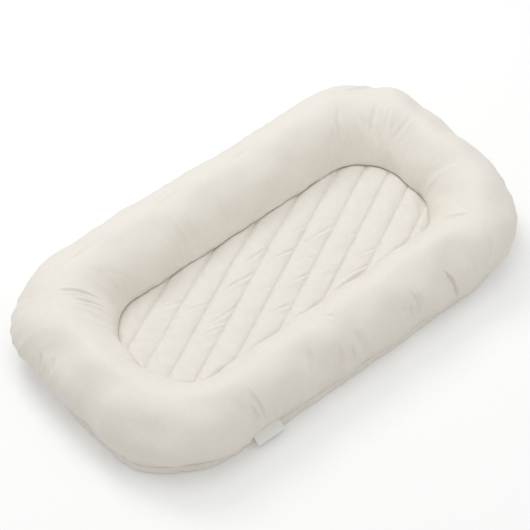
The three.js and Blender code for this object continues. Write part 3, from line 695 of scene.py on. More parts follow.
# Plain weave: warp and weft pass over and under each other by turns. Each thread is a round ridge,
# the cosine of the place across it, and stands highest where it is on top. Slubs are thick places in
# the yarn, noise drawn out along the threads both ways.
weave, given, result = new_group(
    "plain weave", {"Place": "Vector", "Thread": "Float"}, ["Height", "Gap shade", "Slubs"])
per_thread = calculate(weave, "DIVIDE", 1.0, given["Thread"])
scaled = add_node(weave, "ShaderNodeVectorMath", {0: given["Place"], 3: per_thread}, operation="SCALE")
parts = add_node(weave, "ShaderNodeSeparateXYZ", {0: scaled.outputs[0]}).outputs
ridges = []
for part in (parts[0], parts[1]):
    across = calculate(weave, "SUBTRACT", calculate(weave, "FRACT", part), 0.5)
    ridges.append(calculate(weave, "COSINE", calculate(weave, "MULTIPLY", across, math.pi)))
threads_before = [calculate(weave, "FLOOR", parts[k]) for k in (0, 1)]
warp_on_top = calculate(weave, "FLOORED_MODULO", calculate(weave, "ADD", *threads_before), 2.0)
over_under = [
    calculate(weave, "MULTIPLY", ridges[k], calculate(weave, "MULTIPLY_ADD", ridges[1 - k], 0.45, 0.55))
    for k in (0, 1)
]
slub_scale = calculate(weave, "DIVIDE", 0.5, given["Thread"])
slubs = [noise(weave, stretched(weave, given["Place"], factors), slub_scale, 2.0)
         for factors in ((0.06, 1.0, 1.0), (1.0, 0.06, 1.0))]
top_thread = add_node(weave, "ShaderNodeMix", {0: warp_on_top, 2: over_under[0], 3: over_under[1]})
set_inputs(weave, result, {
    "Height": top_thread.outputs[0],
    # 1 between the threads and 0 on them: where shade is painted into the cloth's colour.
    "Gap shade": calculate(weave, "SUBTRACT", 1.0, calculate(weave, "MAXIMUM", *ridges)),
    "Slubs": calculate(weave, "MULTIPLY", calculate(weave, "ADD", *slubs), 0.5),
})

# Handling: soft shallow creases and rubbed places on cloth that has been filled and handled, noise in
# two sizes on the object's own coordinates.
handling, given, result = new_group(
    "handled cloth", {"Place": "Vector", "Crease size": "Float"}, ["Height", "Rub"])
broad = noise(handling, given["Place"], calculate(handling, "DIVIDE", 1.0, given["Crease size"]), 3.0,
              Roughness=0.55, Distortion=0.6)
small = noise(handling, given["Place"], calculate(handling, "DIVIDE", 4.0, given["Crease size"]), 2.0,
              Roughness=0.5)
set_inputs(handling, result, {
    "Height": calculate(handling, "MULTIPLY_ADD", small, 0.25, broad), "Rub": broad})

# Gathers: fine creases that run away from a seam where the cloth is taken in, in patches. They are
# noise drawn out across the seam, times a bell of the distance from it, times a broad noise along it.
gathers, given, result = new_group(
    "seam gathers", {"Place": "Vector", "Seam": "Float", "Reach": "Float"}, ["Height"])
parts = add_node(gathers, "ShaderNodeSeparateXYZ", {0: given["Place"]}).outputs
away = calculate(gathers, "DIVIDE", calculate(gathers, "SUBTRACT", parts[1], given["Seam"]), given["Reach"])
squared = calculate(gathers, "POWER", away, 2.0)
near_seam = calculate(gathers, "EXPONENT", calculate(gathers, "MULTIPLY", squared, -1.0))
creases = noise(gathers, stretched(gathers, given["Place"], (1.0, 0.09, 1.0)), 150.0, 1.5, Roughness=0.4)
patches = remapped(gathers, noise(gathers, given["Place"], 16.0, 1.0), 0.48, 0.66, 0.1)
set_inputs(gathers, result, {
    "Height": calculate(gathers, "MULTIPLY", calculate(gathers, "MULTIPLY", creases, near_seam), patches)})

COTTON_THREAD = 0.00045
WEAVE_DEPTH = 0.00008
GATHER_DEPTH = 0.0045


def woven_cotton(name, colour, crease_size, crease_depth, seams=()):
    """Matt cotton: the yarn's colour, darker on thin places, with painted shade between the threads where
    they part, and a little lighter where it is rubbed, with the weave, soft creases and, by each seam,
    gathers as bumps, and a soft sheen of loose fibres. A seam is its place across the cloth and how far its
    gathers reach."""
    made, tree, shader = new_material(name)
    cloth_place = add_node(tree, "ShaderNodeUVMap", uv_map="cloth").outputs[0]
    solid_place = add_node(tree, "ShaderNodeTexCoord").outputs["Object"]
    threads = placed(tree, weave, Place=cloth_place, Thread=COTTON_THREAD)
    handled = placed(tree, handling, Place=solid_place, Crease_size=crease_size)
    dark = shaded(colour, (0.95, 0.94, 0.925))
    yarn = blended(tree, remapped(tree, threads["Slubs"], 0.25, 0.6), dark, shaded(colour, 1.015))
    # Painted shade: the colour is made darker between the threads, where shade falls.
    gap_shade = calculate(tree, "MULTIPLY", threads["Gap shade"], 0.25)
    height = handled["Height"]
    for seam_at, reach in seams:
        gathered = placed(tree, gathers, Place=cloth_place, Seam=seam_at, Reach=reach)
        height = calculate(tree, "MULTIPLY_ADD", gathered[0], GATHER_DEPTH / crease_depth, height)
    creased = embossed(tree, height, crease_depth, 1.0)
    set_inputs(tree, shader, {
        "Base Color": blended(tree, gap_shade, yarn, shaded(dark, 0.6)),
        "Roughness": remapped(tree, handled["Rub"], 0.3, 0.7, 0.95, 0.82),
        "Normal": embossed(tree, threads["Height"], WEAVE_DEPTH, 0.8, Normal=creased),
        "Specular IOR Level": 0.2, "Sheen Weight": 0.12, "Sheen Roughness": 0.45,
        "Sheen Tint": (1.0, 0.98, 0.95, 1.0),
    })
    return made


FOOT_GATHERS = 0.022
PAD_GATHERS = 0.030
cover_seams = [(0.0, FOOT_GATHERS), (across_length, PAD_GATHERS)]
cover.data.materials.append(woven_cotton("cover cotton", COVER_COLOUR, 0.035, 0.0004, cover_seams))
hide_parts("bolster_cover")
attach(cover, "root")

# The quilted panel
# Two layers of cotton over thin wadding, stitched through in slanted straight lines. The wadding swells
# between the lines, and the top cloth, which is a little larger, wrinkles across the channels. Its edge
# is sewn to the bolster cover round the well.
QUILT_TURN = math.radians(26.7)
QUILT_PITCH = 0.0393
QUILT_SHIFT = -0.0244
QUILT_RISE = 0.0062
STITCH_Z = 0.035
PANEL_UNDER_Z = 0.0334
PANEL_INTO_SEAM = 0.0004
PANEL_EDGE = 0.010
PANEL_COLOUR = (0.835, 0.80, 0.75)
ROWS_IN_CHANNEL = 32
PANEL_COLUMNS = 340
PANEL_UNDER_COLUMNS = 10
along_stitch = np.array([math.cos(QUILT_TURN), math.sin(QUILT_TURN)])
over_stitch = np.array([math.sin(QUILT_TURN), -math.cos(QUILT_TURN)])
panel_rim = well_outline(-PANEL_INTO_SEAM, np.arange(4001) / 4000)


def inside_panel(place):
    """How far a point is inside the panel's outline: the depth in a rounded rectangle."""
    half = np.array([PAD_LENGTH, PAD_WIDTH]) / 2 + PANEL_INTO_SEAM
    corner = PAD_CORNER + PANEL_INTO_SEAM
    past = np.abs(place - PAD_SHIFT) - (half - corner)
    outside = np.linalg.norm(np.maximum(past, 0.0), axis=-1)
    return corner - outside - np.minimum(past.max(axis=-1), 0.0)


def panel_chords(offsets):
    """The two ends of lines parallel to the stitching, each at its own offset across it: where the
    outline changes sides of the line."""
    side = (panel_rim @ over_stitch)[None] - offsets[:, None]
    row, at = np.nonzero((side[:, :-1] > 0) != (side[:, 1:] > 0))
    part = side[row, at] / (side[row, at] - side[row, at + 1])
    ends = (panel_rim[at] + (panel_rim[at + 1] - panel_rim[at]) * part[:, None]) @ along_stitch
    return np.sort(ends.reshape(-1, 2), axis=1)


# Wrinkles run from a stitch line, where the thread holds the top cloth, into the channel on its left
# and fade out there, nearly along the lounger. Each has the x and y of its start, those of its end,
# and its strength.
WRINKLE_DEPTH = 0.0015
WRINKLE_WIDTH = 0.0019
WRINKLE_RIDGES = (0.7, 0.45)
WRINKLE_RIDGE_AT = 2.3
WRINKLE_RIDGE_WIDTH = 1.2
WRINKLES = [
    (0.016, 0.041, -0.017, 0.040, 0.8), (-0.019, 0.017, -0.060, 0.016, 1.0),
    (-0.055, 0.019, -0.092, 0.018, 0.9), (0.060, 0.012, 0.004, 0.019, 0.9),
    (0.106, 0.037, 0.060, 0.037, 0.4), (0.136, 0.009, 0.072, 0.010, 0.9),
    (0.070, -0.019, 0.037, -0.009, 0.6), (0.048, -0.039, -0.010, -0.034, 1.0),
    (0.001, -0.021, -0.017, -0.013, 0.4), (-0.022, -0.021, -0.053, -0.013, 0.4),
    (-0.011, -0.067, -0.064, -0.059, 0.9), (-0.084, -0.016, -0.136, -0.018, 1.0),
    (-0.128, -0.032, -0.173, -0.025, 0.5), (-0.113, -0.028, -0.159, -0.020, 0.5),
    (-0.117, 0.016, -0.156, 0.026, 0.6), (-0.144, 0.045, -0.184, 0.054, 0.5),
    (0.119, -0.085, 0.072, -0.080, 1.0), (0.110, -0.091, 0.043, -0.091, 0.8),
    (0.151, -0.067, 0.106, -0.060, 0.7), (0.152, -0.026, 0.129, -0.019, 0.3),
    (0.091, -0.059, 0.068, -0.050, 0.3),
]


def wrinkled(place, over):
    """The wrinkles' height: across each one a valley with a lower ridge on both sides, and along it a
    fade from its start to its end. A wrinkle stays in its own channel."""
    channel = np.floor(over)
    height = np.zeros(place.shape[:-1])
    for *ends, strength in WRINKLES:
        start = np.array(ends[:2])
        way = np.array(ends[2:]) - start
        own = np.floor(((start + way / 2) @ over_stitch - QUILT_SHIFT) / QUILT_PITCH)
        length = np.linalg.norm(way)
        along = (place - start) @ way / length ** 2
        aside = (place - start) @ np.array([way[1], -way[0]]) / length / WRINKLE_WIDTH
        fade = np.clip(1.1 - along, 0.0, 1.0) ** 0.5 * np.clip(1 + along * 4, 0.0, 1.0)
        both_sides = WRINKLE_RIDGES[0] * bell(aside + WRINKLE_RIDGE_AT, WRINKLE_RIDGE_WIDTH) \
            + WRINKLE_RIDGES[1] * bell(aside - WRINKLE_RIDGE_AT, WRINKLE_RIDGE_WIDTH)
        valley = bell(np.abs(aside), 1.0, VALLEY_POWER)
        height += strength * (both_sides - valley) * fade * (channel == own)
    return height


NEAR_DIP = 0.0070
NEAR_DIP_REACH = 0.023
NEAR_DIP_SLOPE = 0.012
NEAR_DIP_Y = -0.03
NEAR_DIP_OVER = 0.03
SAW_SLOPE = 1.3
SAW_END = 0.10


def near_dip(place, over, deep):
    """How far the panel falls away beside the near side of the well: most just before each stitch line
    that ends there, where the side of the ring has drawn back, and nothing just after it."""
    part = over - np.floor(over)
    saw = np.clip(part * SAW_SLOPE, 0.0, 1.0) * np.clip((1 - part) / SAW_END, 0.0, 1.0)
    side = np.clip((NEAR_DIP_Y - place[..., 1]) / NEAR_DIP_OVER, 0.0, 1.0)
    return NEAR_DIP * saw * side * eased(np.clip((NEAR_DIP_REACH - deep) / NEAR_DIP_SLOPE, 0.0, 1.0))


ROLL_POWER = 0.9
GROOVE_SHARE = 0.38
GROOVE_WIDTH = 0.0024
ROLL_UNEVEN = 0.10
STITCH_PUCKER = 0.0003
STITCH_PUCKER_REACH = 0.007
STITCH_PUCKER_START = 0.0012
QUILT_LUMP = 0.0003
PANEL_SEAM_REACH = 0.003


def quilt_height(place):
    """The panel's top: between stitch lines a soft roll, |sin| with a narrow groove at each line, that
    falls to the seam at the edge, with small puckers beside the stitches and the wrinkles."""
    over = (place @ over_stitch - QUILT_SHIFT) / QUILT_PITCH
    gap = np.abs(over - np.round(over)) * QUILT_PITCH
    roll = np.abs(np.sin(math.pi * over)) ** ROLL_POWER
    swell = (1 - GROOVE_SHARE) * roll + GROOVE_SHARE * (1 - np.exp(-gap / GROOVE_WIDTH))
    deep = inside_panel(place)
    edge = 1 - (1 - np.clip(deep / PANEL_EDGE, 0.0, 1.0)) ** 2
    flat = np.concatenate([place, np.zeros(place.shape[:-1] + (1,))], -1)
    height = QUILT_RISE * swell * edge * (1 + ROLL_UNEVEN * waves(flat, 0.03, 0.09, 40, 21))
    beside = bell(gap, STITCH_PUCKER_REACH) * beyond(gap, STITCH_PUCKER_START)
    drawn_out = flat * np.array([1.0, 0.35, 1.0])
    height += STITCH_PUCKER * beside * edge * waves(drawn_out, 0.005, 0.012, 60, 22)
    height += QUILT_LUMP * edge * swell * waves(flat, 0.012, 0.03, 60, 23)
    height += WRINKLE_DEPTH * wrinkled(place, over) * np.minimum(swell * 1.6, 1.0) * edge
    height -= near_dip(place, over, deep) * swell * edge
    return STITCH_Z + np.maximum(height, 0.0) + (PAD_SEAM_Z - STITCH_Z) * bell(deep, PANEL_SEAM_REACH)


# The rows of the panel's grid run along the stitching, so that a whole number of them fills a channel,
# with one more just inside the outline at each end.
RIM_GAP = 0.00002
reach = panel_rim @ over_stitch
row_step = QUILT_PITCH / ROWS_IN_CHANNEL
first = math.ceil((reach.min() - QUILT_SHIFT) / row_step + 0.3)
last = math.floor((reach.max() - QUILT_SHIFT) / row_step - 0.3)
offsets = QUILT_SHIFT + row_step * np.arange(first, last + 1)
offsets = np.concatenate([[reach.min() + RIM_GAP], offsets, [reach.max() - RIM_GAP]])
ends = panel_chords(offsets)


def panel_grid(columns):
    """Plan places on every line, evenly spaced between its two ends."""
    part = np.linspace(0.0, 1.0, columns)
    run_on = ends[:, :1] + (ends[:, 1:] - ends[:, :1]) * part[None]
    return run_on[..., None] * along_stitch + offsets[:, None, None] * over_stitch, run_on


top_place, top_run = panel_grid(PANEL_COLUMNS)
under_place, under_run = panel_grid(PANEL_UNDER_COLUMNS)
top = np.concatenate([top_place, quilt_height(top_place)[..., None]], -1)
under = np.concatenate([under_place, np.full(under_place.shape[:-1] + (1,), PANEL_UNDER_Z)], -1)
loop = np.concatenate([top, under[:, ::-1]], axis=1)
loop_run = np.concatenate([top_run, under_run[:, ::-1]], axis=1)
lines, around = loop.shape[:2]
quads = grid_faces(lines, around, over=True)
first_cap = list(range(around))
last_cap = list(range(lines * around - 1, (lines - 1) * around - 1, -1))
plan = np.stack([loop_run, np.broadcast_to(offsets[:, None], loop_run.shape)], -1).reshape(-1, 2)
panel = add_mesh("quilted_cotton", loop, quads.tolist() + [first_cap, last_cap],
                 plan[np.concatenate([np.ravel(quads), first_cap, last_cap])])
panel.data.materials.append(woven_cotton("panel cotton", PANEL_COLOUR, 0.020, 0.0006))
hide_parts("quilted_panel")
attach(panel, "root")

# The quilting thread
# Cream sewing thread in straight lockstitch along the panel's lines, each stitch sunk into the cloth at
# both ends.
STITCH_PITCH = 0.0034
STITCH_LENGTH = 0.0028
STITCH_ARCH = 0.00035
STITCH_SUNK = 0.0001
STITCH_MARGIN = 0.004
THREAD = 0.00045
THREAD_SIDES = 6


def add_strands(name, strands):
    """Many short tubes, from the corners of each one's rings, joined ring to ring and capped."""
    count, rings, sides = strands.shape[:3]
    shift = np.arange(count)[:, None, None] * rings * sides
    walls = grid_faces(rings, sides, over=True)[:, [0, 3, 2, 1]]
    faces = (walls + shift).reshape(-1, 4).tolist()
    faces += (np.arange(sides)[::-1] + shift[:, 0]).tolist()
    faces += ((rings - 1) * sides + np.arange(sides) + shift[:, 0]).tolist()
    return add_mesh(name, strands, faces)


sewn_lines = np.arange(math.ceil((offsets[1] - QUILT_SHIFT) / QUILT_PITCH),
                       math.floor((offsets[-2] - QUILT_SHIFT) / QUILT_PITCH) + 1)
sewn_lines = sewn_lines * QUILT_PITCH + QUILT_SHIFT
stitch_middles = []
for offset, (start, end) in zip(sewn_lines, panel_chords(sewn_lines)):
    along = np.arange(start + STITCH_MARGIN, end - STITCH_MARGIN, STITCH_PITCH)
    stitch_middles.append(along[:, None] * along_stitch + offset * over_stitch)
stitch_middles = np.concatenate(stitch_middles)
# One stitch is a hexagon carried along a low arch, wide in the middle and thin at both ends.
part = np.array([-1.0, -0.7, 0.0, 0.7, 1.0])
thick = THREAD / 2 * np.array([0.35, 0.85, 1.0, 0.85, 0.35])
angle = np.arange(THREAD_SIDES) * 2 * math.pi / THREAD_SIDES
stitch = np.empty((len(part), THREAD_SIDES, 3))
stitch[..., :2] = (part[:, None] * STITCH_LENGTH / 2)[..., None] * along_stitch \
    + (thick[:, None] * np.cos(angle))[..., None] * over_stitch
arch = STITCH_ARCH * (1 - part ** 2) - STITCH_SUNK
stitch[..., 2] = arch[:, None] + thick[:, None] * np.sin(angle)
ground = quilt_height(stitch_middles)
stitches = stitch[None] + np.concatenate([stitch_middles, ground[:, None]], 1)[:, None, None]
thread = add_strands("quilting_thread", stitches)
spun, tree, shader = new_material("sewing thread")
place = add_node(tree, "ShaderNodeTexCoord").outputs["Object"]
twist = noise(tree, place, 2500.0, 2.0)
set_inputs(tree, shader, {
    "Base Color": blended(tree, twist, (0.74, 0.70, 0.62, 1.0), (0.86, 0.83, 0.76, 1.0)),
    "Roughness": remapped(tree, twist, 0.0, 1.0, 0.5, 0.75),
    "Normal": embossed(tree, twist, 0.00005, 0.6),
})
thread.data.materials.append(spun)
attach(thread, "root")

# The base panel
# The lounger's underside, one sheet of the same cotton, but with its colour painted lighter than the
# cover's, as painted light on the band that the ring's overhang shades. It rises a little in the middle,
# where the zip is let in, and its edge turns up to the seam with the bolster cover, where it shows as a
# narrow band that the gathered seam puckers.
BASE_CLOTH = 0.0014
# Painted light: lighter than the cover's cotton, so that the band in the overhang's shade shows light.
BASE_COLOUR_PAINTED_LIGHT = (0.90, 0.87, 0.805)
ZIP_LENGTH = 0.520
SLOT_WIDTH = 0.012
SLOT_CORNER = 0.005
DISH = 0.009
FLOOR_FROM = 0.35
# The turned-up edge, each point by how far out it is from the foot seam, and how high, in millimetres.
TURN_UP = 0.001 * np.array([
    (-2.0, 0.0), (1.8, 0.4), (4.6, 1.8), (6.0, 4.2), (6.0, 7.2), (5.0, 10.6), (3.4, 13.6), (0.4, 15.2),
    (-3.0, 15.5),
])
BAND_ROWS = 22
BAND_PUCKER = 0.00016
BAND_LUMP = 0.0005
BAND_GATHERS = 0.014
RIPPLE = 0.0006
RIPPLE_GROWS = 8
RIPPLE_FULL = 12
BASE_COLUMN = 100
slot = outline(ZIP_LENGTH + SLOT_WIDTH, SLOT_WIDTH, SLOT_CORNER, cover_share)


def raised_rows(rows):
    """A grid from its rows, each an outline in plan and its height."""
    return np.stack([np.concatenate([plan, np.full((len(plan), 1), up)], 1) for plan, up in rows], 1)


def under_rows(dish, inner_rows=8, fall_rows=14, flat_rows=10):
    """The underside's rows from the slot outwards: level at the dish's height to the pad seam, an eased
    fall to the floor, then along the floor, then the turned-up band through TURN_UP."""
    edge, seam, outward, span, foot_at = spokes(cover_share)
    floor_from = span * FLOOR_FROM
    floor_to = foot_at + TURN_UP[0, 0]
    rows = []
    for t in np.linspace(0.0, 1.0, inner_rows, endpoint=False):
        rows.append((slot + (seam - slot) * t, dish))
    for t in np.linspace(0.0, 1.0, fall_rows, endpoint=False):
        rows.append((seam + outward * floor_from * t, dish * (1 - eased(t))))
    for t in np.linspace(0.0, 1.0, flat_rows, endpoint=False):
        rows.append((seam + outward * (floor_from + (floor_to - floor_from) * t), 0.0))
    for out, up in cubic(TURN_UP, np.linspace(0, len(TURN_UP) - 1, BAND_ROWS), False):
        rows.append((seam + outward * (foot_at + out), up))
    return raised_rows(rows)


base_skin = under_rows(DISH)
base_out = normals_of(base_skin)
base_rows = base_skin.shape[1]
band = np.zeros(base_rows)
band[-BAND_ROWS:] = np.sin(np.linspace(0, math.pi, BAND_ROWS)) ** 0.8
band_pucker = seam_waves(cover_share, 0.008, 0.020, 60, 31) * BAND_PUCKER
band_lump = seam_waves(cover_share, 0.04, 0.15, 30, 32) * BAND_LUMP
base_skin = base_skin + base_out * (band * (band_pucker + band_lump - pleats))[..., None]
ripple = np.abs(waves(base_skin, 0.02, 0.08, 50, 33)) * RIPPLE
ripple_fades = base_rows - RIPPLE_GROWS - RIPPLE_FULL
inside_band = np.concatenate([
    np.linspace(0, 1, RIPPLE_GROWS), np.ones(RIPPLE_FULL), np.linspace(1, 0, ripple_fades)])
base_skin[..., 2] = np.maximum(base_skin[..., 2] + ripple * inside_band * (1 - band), 0.0)
base_lining = (base_skin - base_out * BASE_CLOTH)[:, ::-1][:, ::2]
base_run = run_along(base_skin[BASE_COLUMN])
base = add_hoop("base_cotton", np.concatenate([base_skin, base_lining], axis=1), ring_run,
                np.concatenate([base_run, base_run[::-1][::2], [0.0]]))
base.data.materials.append(
    woven_cotton("base cotton painted light", BASE_COLOUR_PAINTED_LIGHT, 0.030, 0.0005, [(base_run[-1], BAND_GATHERS)]))
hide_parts("base_panel")
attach(base, "root")

# The side label
# A bare loop of smooth white woven tape, folded once and caught by its two ends in the outer seam of
# the near long side, so that it hangs outwards over the band.
LABEL_COLOUR = (0.99, 0.99, 0.98)
LABEL_RIB = 0.0004
LABEL_PLY = 0.0005
LABEL_GAP = 0.0002
LABEL_INTO_SEAM = 0.0056
LABEL_LOWER = 0.0024
LABEL_ALONG = 0.002
LABEL_CAUGHT = 0.004
LABEL_BOW = 0.0009
LABEL_COLUMNS = 40
LABEL_WIDTH = 0.05
label_low, label_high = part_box("side_label")


def add_sheet(name, middle, cloth, along, across):
    """A strip of cloth: its middle surface moved half its thickness out both ways, the two skins joined
    round the rim."""
    out = np.cross(np.gradient(middle, axis=0), np.gradient(middle, axis=1))
    out /= np.linalg.norm(out, axis=-1, keepdims=True)
    columns, rows = middle.shape[:2]
    skins = np.stack([middle + out * cloth / 2, middle - out * cloth / 2])
    front = grid_faces(columns, rows)
    count = columns * rows
    rim = np.concatenate([
        np.arange(columns) * rows,
        (columns - 1) * rows + np.arange(1, rows),
        np.arange(columns - 2, -1, -1) * rows + rows - 1,
        np.arange(rows - 2, 0, -1),
    ])
    after = np.roll(rim, -1)
    side = np.stack([rim, rim + count, after + count, after], -1)
    faces = np.concatenate([front, front[:, ::-1] + count, side])
    spots = np.tile(cloth_places(along, across), (2, 1))
    return add_mesh(name, skins, faces.tolist(), spots[faces.ravel()])


def woven_tape(name, colour, rib, roughness):
    """Narrow woven tape: close ribs, the sine of the place along it, with painted shade between them, and
    slubs in the yarn."""
    made, tree, shader = new_material(name)
    place = add_node(tree, "ShaderNodeUVMap", uv_map="cloth").outputs[0]
    along = add_node(tree, "ShaderNodeSeparateXYZ", {0: place}).outputs[0]
    ribs = calculate(tree, "SINE", calculate(tree, "MULTIPLY", along, 2 * math.pi / rib))
    threads = placed(tree, weave, Place=place, Thread=rib / 2)
    # Painted shade between the ribs, together with the yarn's slubs, which darken the colour.
    shade = calculate(tree, "MULTIPLY_ADD", ribs, 0.25, threads["Slubs"])
    height = calculate(tree, "MULTIPLY_ADD", threads["Height"], 0.4, ribs)
    set_inputs(tree, shader, {
        "Base Color": blended(tree, shade, shaded(colour, 0.86), shaded(colour, 1.0)),
        "Normal": embossed(tree, height, rib * 0.08, 0.7),
        "Roughness": roughness, "Specular IOR Level": 0.35, "Sheen Weight": 0.12,
    })
    return made


# Seen from its end, the label is the front ply, half a turn, and the back ply.
drop = np.array([label_low.y - label_high.y + 2 * LABEL_PLY, label_low.z - label_high.z])
drop_length = np.linalg.norm(drop)
drop = drop / drop_length
away = np.array([drop[1], -drop[0]])
ply_apart = LABEL_PLY + LABEL_GAP
turn = np.linspace(0, math.pi, 9)[:, None]
front_run = np.linspace(-LABEL_CAUGHT, drop_length - ply_apart, 16)[:, None]
front_ply = front_run * drop + ply_apart * away
fold = front_ply[-1] - ply_apart / 2 * away + ply_apart / 2 * (np.cos(turn) * away + np.sin(turn) * drop)
back_ply = front_ply[::-1] - ply_apart * away
label_path = np.concatenate([front_ply, fold[1:-1], back_ply])
label_run = run_along(label_path)
label_x = np.linspace(label_low.x, label_high.x, LABEL_COLUMNS) - LABEL_ALONG
swing = np.linalg.norm(label_path - label_path[0], axis=1) / (drop_length + LABEL_CAUGHT)
bow = LABEL_BOW * np.sin((label_x - label_low.x) / LABEL_WIDTH * math.pi)[:, None] * swing[None] ** 2
label_middle = np.empty((LABEL_COLUMNS, len(label_path), 3))
label_middle[..., 0] = label_x[:, None]
label_middle[..., 1] = label_high.y + LABEL_INTO_SEAM + label_path[:, 0] + away[0] * bow
label_middle[..., 2] = label_high.z - LABEL_LOWER + label_path[:, 1] + away[1] * bow
label = add_sheet("label_tape", label_middle, LABEL_PLY, label_x - label_low.x, label_run)
label.data.materials.append(woven_tape("label tape", LABEL_COLOUR, LABEL_RIB, 0.55))
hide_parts("side_label")
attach(label, "root")

# The zip tapes
# Two ribbed polyester tapes that lie on the inside of the base panel along the slot and are stitched
# to it. Each carries one row of the coil on its inner edge.
TAPE_COLOUR = (0.78, 0.75, 0.69)
TAPE_RIB = 0.0008
TAPE_COLUMNS = 269
TAPE_ROWS = 13
ribbed = woven_tape("zip tape", TAPE_COLOUR, TAPE_RIB, 0.7)
for name in ("zip_tape_front", "zip_tape_back"):
    low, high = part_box(name)
    tape_x = np.linspace(low.x, high.x, TAPE_COLUMNS)
    tape_y = np.linspace(low.y, high.y, TAPE_ROWS)
    tape_middle = np.empty((TAPE_COLUMNS, TAPE_ROWS, 3))
    tape_middle[..., 0] = tape_x[:, None]
    tape_middle[..., 1] = tape_y
    tape_middle[..., 2] = (low.z + high.z) / 2
    tape = add_sheet(name + "_ribbed", tape_middle, high.z - low.z, tape_x - low.x, tape_y - low.y)
    tape.data.materials.append(ribbed)
    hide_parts(name)
    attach(tape, "root")

# The zip coil
# Two rows of nylon monofilament, each wound into flat loops whose heads catch between those of the
# other row. A row is sewn to the edge of its tape.
COIL_PITCH = 0.0014
WIRE = 0.00052
WIRE_SIDES = 6
LOOP_LEAN = 0.3
# One loop in the zip's cross-section: how far it is from the middle and how high, in millimetres.
LOOP_PATH = 0.001 * np.array([
    (2.7, 10.1), (1.3, 10.1), (0.1, 9.95), (-0.22, 9.4), (0.1, 8.85), (1.3, 8.7), (2.7, 8.7),
])


def coil_row(name, side, start):
    """Loops of wire at an even pitch: a hexagon carried along the loop's path in the cross-section and
    closed at both ends. The path leans along the zip, from LOOP_LEAN wires back to as many on."""
    low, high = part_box(name)
    places = np.arange(low.x + start, high.x - WIRE, COIL_PITCH)
    lean = np.linspace(-LOOP_LEAN, LOOP_LEAN, len(LOOP_PATH)) * WIRE
    path = np.stack([lean, side * LOOP_PATH[:, 0], LOOP_PATH[:, 1]], -1)
    way = np.gradient(path, axis=0)
    way /= np.linalg.norm(way, axis=1, keepdims=True)
    first_way = np.array([1.0, 0.0, 0.0]) - way * way[:, :1]
    first_way /= np.linalg.norm(first_way, axis=1, keepdims=True)
    second_way = np.cross(way, first_way)
    angle = (np.arange(WIRE_SIDES) * 2 * math.pi / WIRE_SIDES)[None, :, None]
    wire = path[:, None] + WIRE / 2 * (
        np.cos(angle) * first_way[:, None] + np.sin(angle) * second_way[:, None])
    return add_strands(name + "_coil", wire[None] + np.outer(places, (1, 0, 0))[:, None, None])


nylon, tree, shader = new_material("coil nylon")
place = add_node(tree, "ShaderNodeTexCoord").outputs["Object"]
grain = noise(tree, place, 900.0, 2.0)
set_inputs(tree, shader, {
    "Base Color": blended(tree, grain, (0.80, 0.77, 0.69, 1.0), (0.88, 0.86, 0.79, 1.0)),
    "Roughness": remapped(tree, grain, 0.0, 1.0, 0.28, 0.45),
})
for side, name, start in ((-1, "zip_teeth_front", WIRE), (1, "zip_teeth_back", WIRE + COIL_PITCH / 2)):
    row_piece = coil_row(name, side, start)
    row_piece.data.materials.append(nylon)
    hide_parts(name)
    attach(row_piece, "root")

# The zip slider, its pull and the stops
# Die-cast zinc with bright nickel plating: the slider closes the coil as it is drawn along, its pull
# turns on the bail, and stops clenched to the coil's ends hold it on.
nickel, tree, shader = new_material("bright nickel")
place = add_node(tree, "ShaderNodeTexCoord").outputs["Object"]
cast = noise(tree, place, 700.0, 4.0)
worn = noise(tree, place, 160.0, 5.0, Roughness=0.7)
set_inputs(tree, shader, {
    "Base Color": blended(tree, worn, (0.52, 0.50, 0.47, 1.0), (0.66, 0.645, 0.615, 1.0)),
    "Metallic": 1.0,
    "Roughness": remapped(tree, worn, 0.3, 0.7, 0.2, 0.42),
    "Normal": embossed(tree, cast, 0.00003, 0.5),
})
for name in ("zip_slider", "zip_pull", "zip_top_stop_front", "zip_top_stop_back", "zip_bottom_stop"):
    nodes[name].data.materials.clear()
    nodes[name].data.materials.append(nickel)

# The insert case
# A plain bag of white non-woven lining, which keeps the fibre together when the cover is off. Its upper
# cloth follows the inside of the bolster cover and its base cloth that of the base panel.
INSERT_CLOTH = 0.0008
INSERT_COLUMNS = 240
INSERT_ROWS = 40
INSERT_DEPTH = 0.0018
INSERT_DISH = 0.0138
LAYER_GAP = 0.0006
HIGHEST_FOLD = 0.004
CASE_BASE_LENGTH = 0.2
picked = np.arange(0, COVER_COLUMNS, COVER_COLUMNS // INSERT_COLUMNS)
insert_run = ring_run[np.append(picked, COVER_COLUMNS)]
under_folds = lowest(np.minimum(below, HIGHEST_FOLD), 5) - COVER_CLOTH


def inner_layer(depth):
    """The ring's surface `depth` under the cover, on a coarser grid, below the folds near each place."""
    rows = np.round(np.linspace(0, COVER_ROWS - 1, INSERT_ROWS)).astype(int)
    return (cover_base + cover_out * (under_folds - depth)[..., None])[picked][:, rows]


def inner_base(depth, dish):
    """The underside's rows on the coarser grid, moved inwards by depth and risen to the dish's height
    in the middle."""
    rows = under_rows(dish - depth)[picked]
    return rows - normals_of(rows) * depth


def fibrous(name, colour, fibre, roughness, depth):
    """Unwoven fibres: fine noise drawn out in two directions over a cloudy one, in colour and as bumps."""
    made, tree, shader = new_material(name)
    place = add_node(tree, "ShaderNodeTexCoord").outputs["Object"]
    strands = [noise(tree, stretched(tree, place, factors), 1 / fibre, 3.0, Distortion=1.0)
               for factors in ((0.15, 1.0, 1.0), (1.0, 0.15, 0.6))]
    cloudy = calculate(tree, "MULTIPLY", noise(tree, place, 40.0, 3.0), 0.3)
    felt = calculate(tree, "MULTIPLY_ADD", calculate(tree, "ADD", *strands), 0.35, cloudy)
    set_inputs(tree, shader, {
        "Base Color": blended(tree, felt, shaded(colour, 0.86), shaded(colour, 1.0)),
        "Normal": embossed(tree, felt, depth, 0.8),
        "Roughness": roughness, "Specular IOR Level": 0.2, "Sheen Weight": 0.2,
    })
    return made


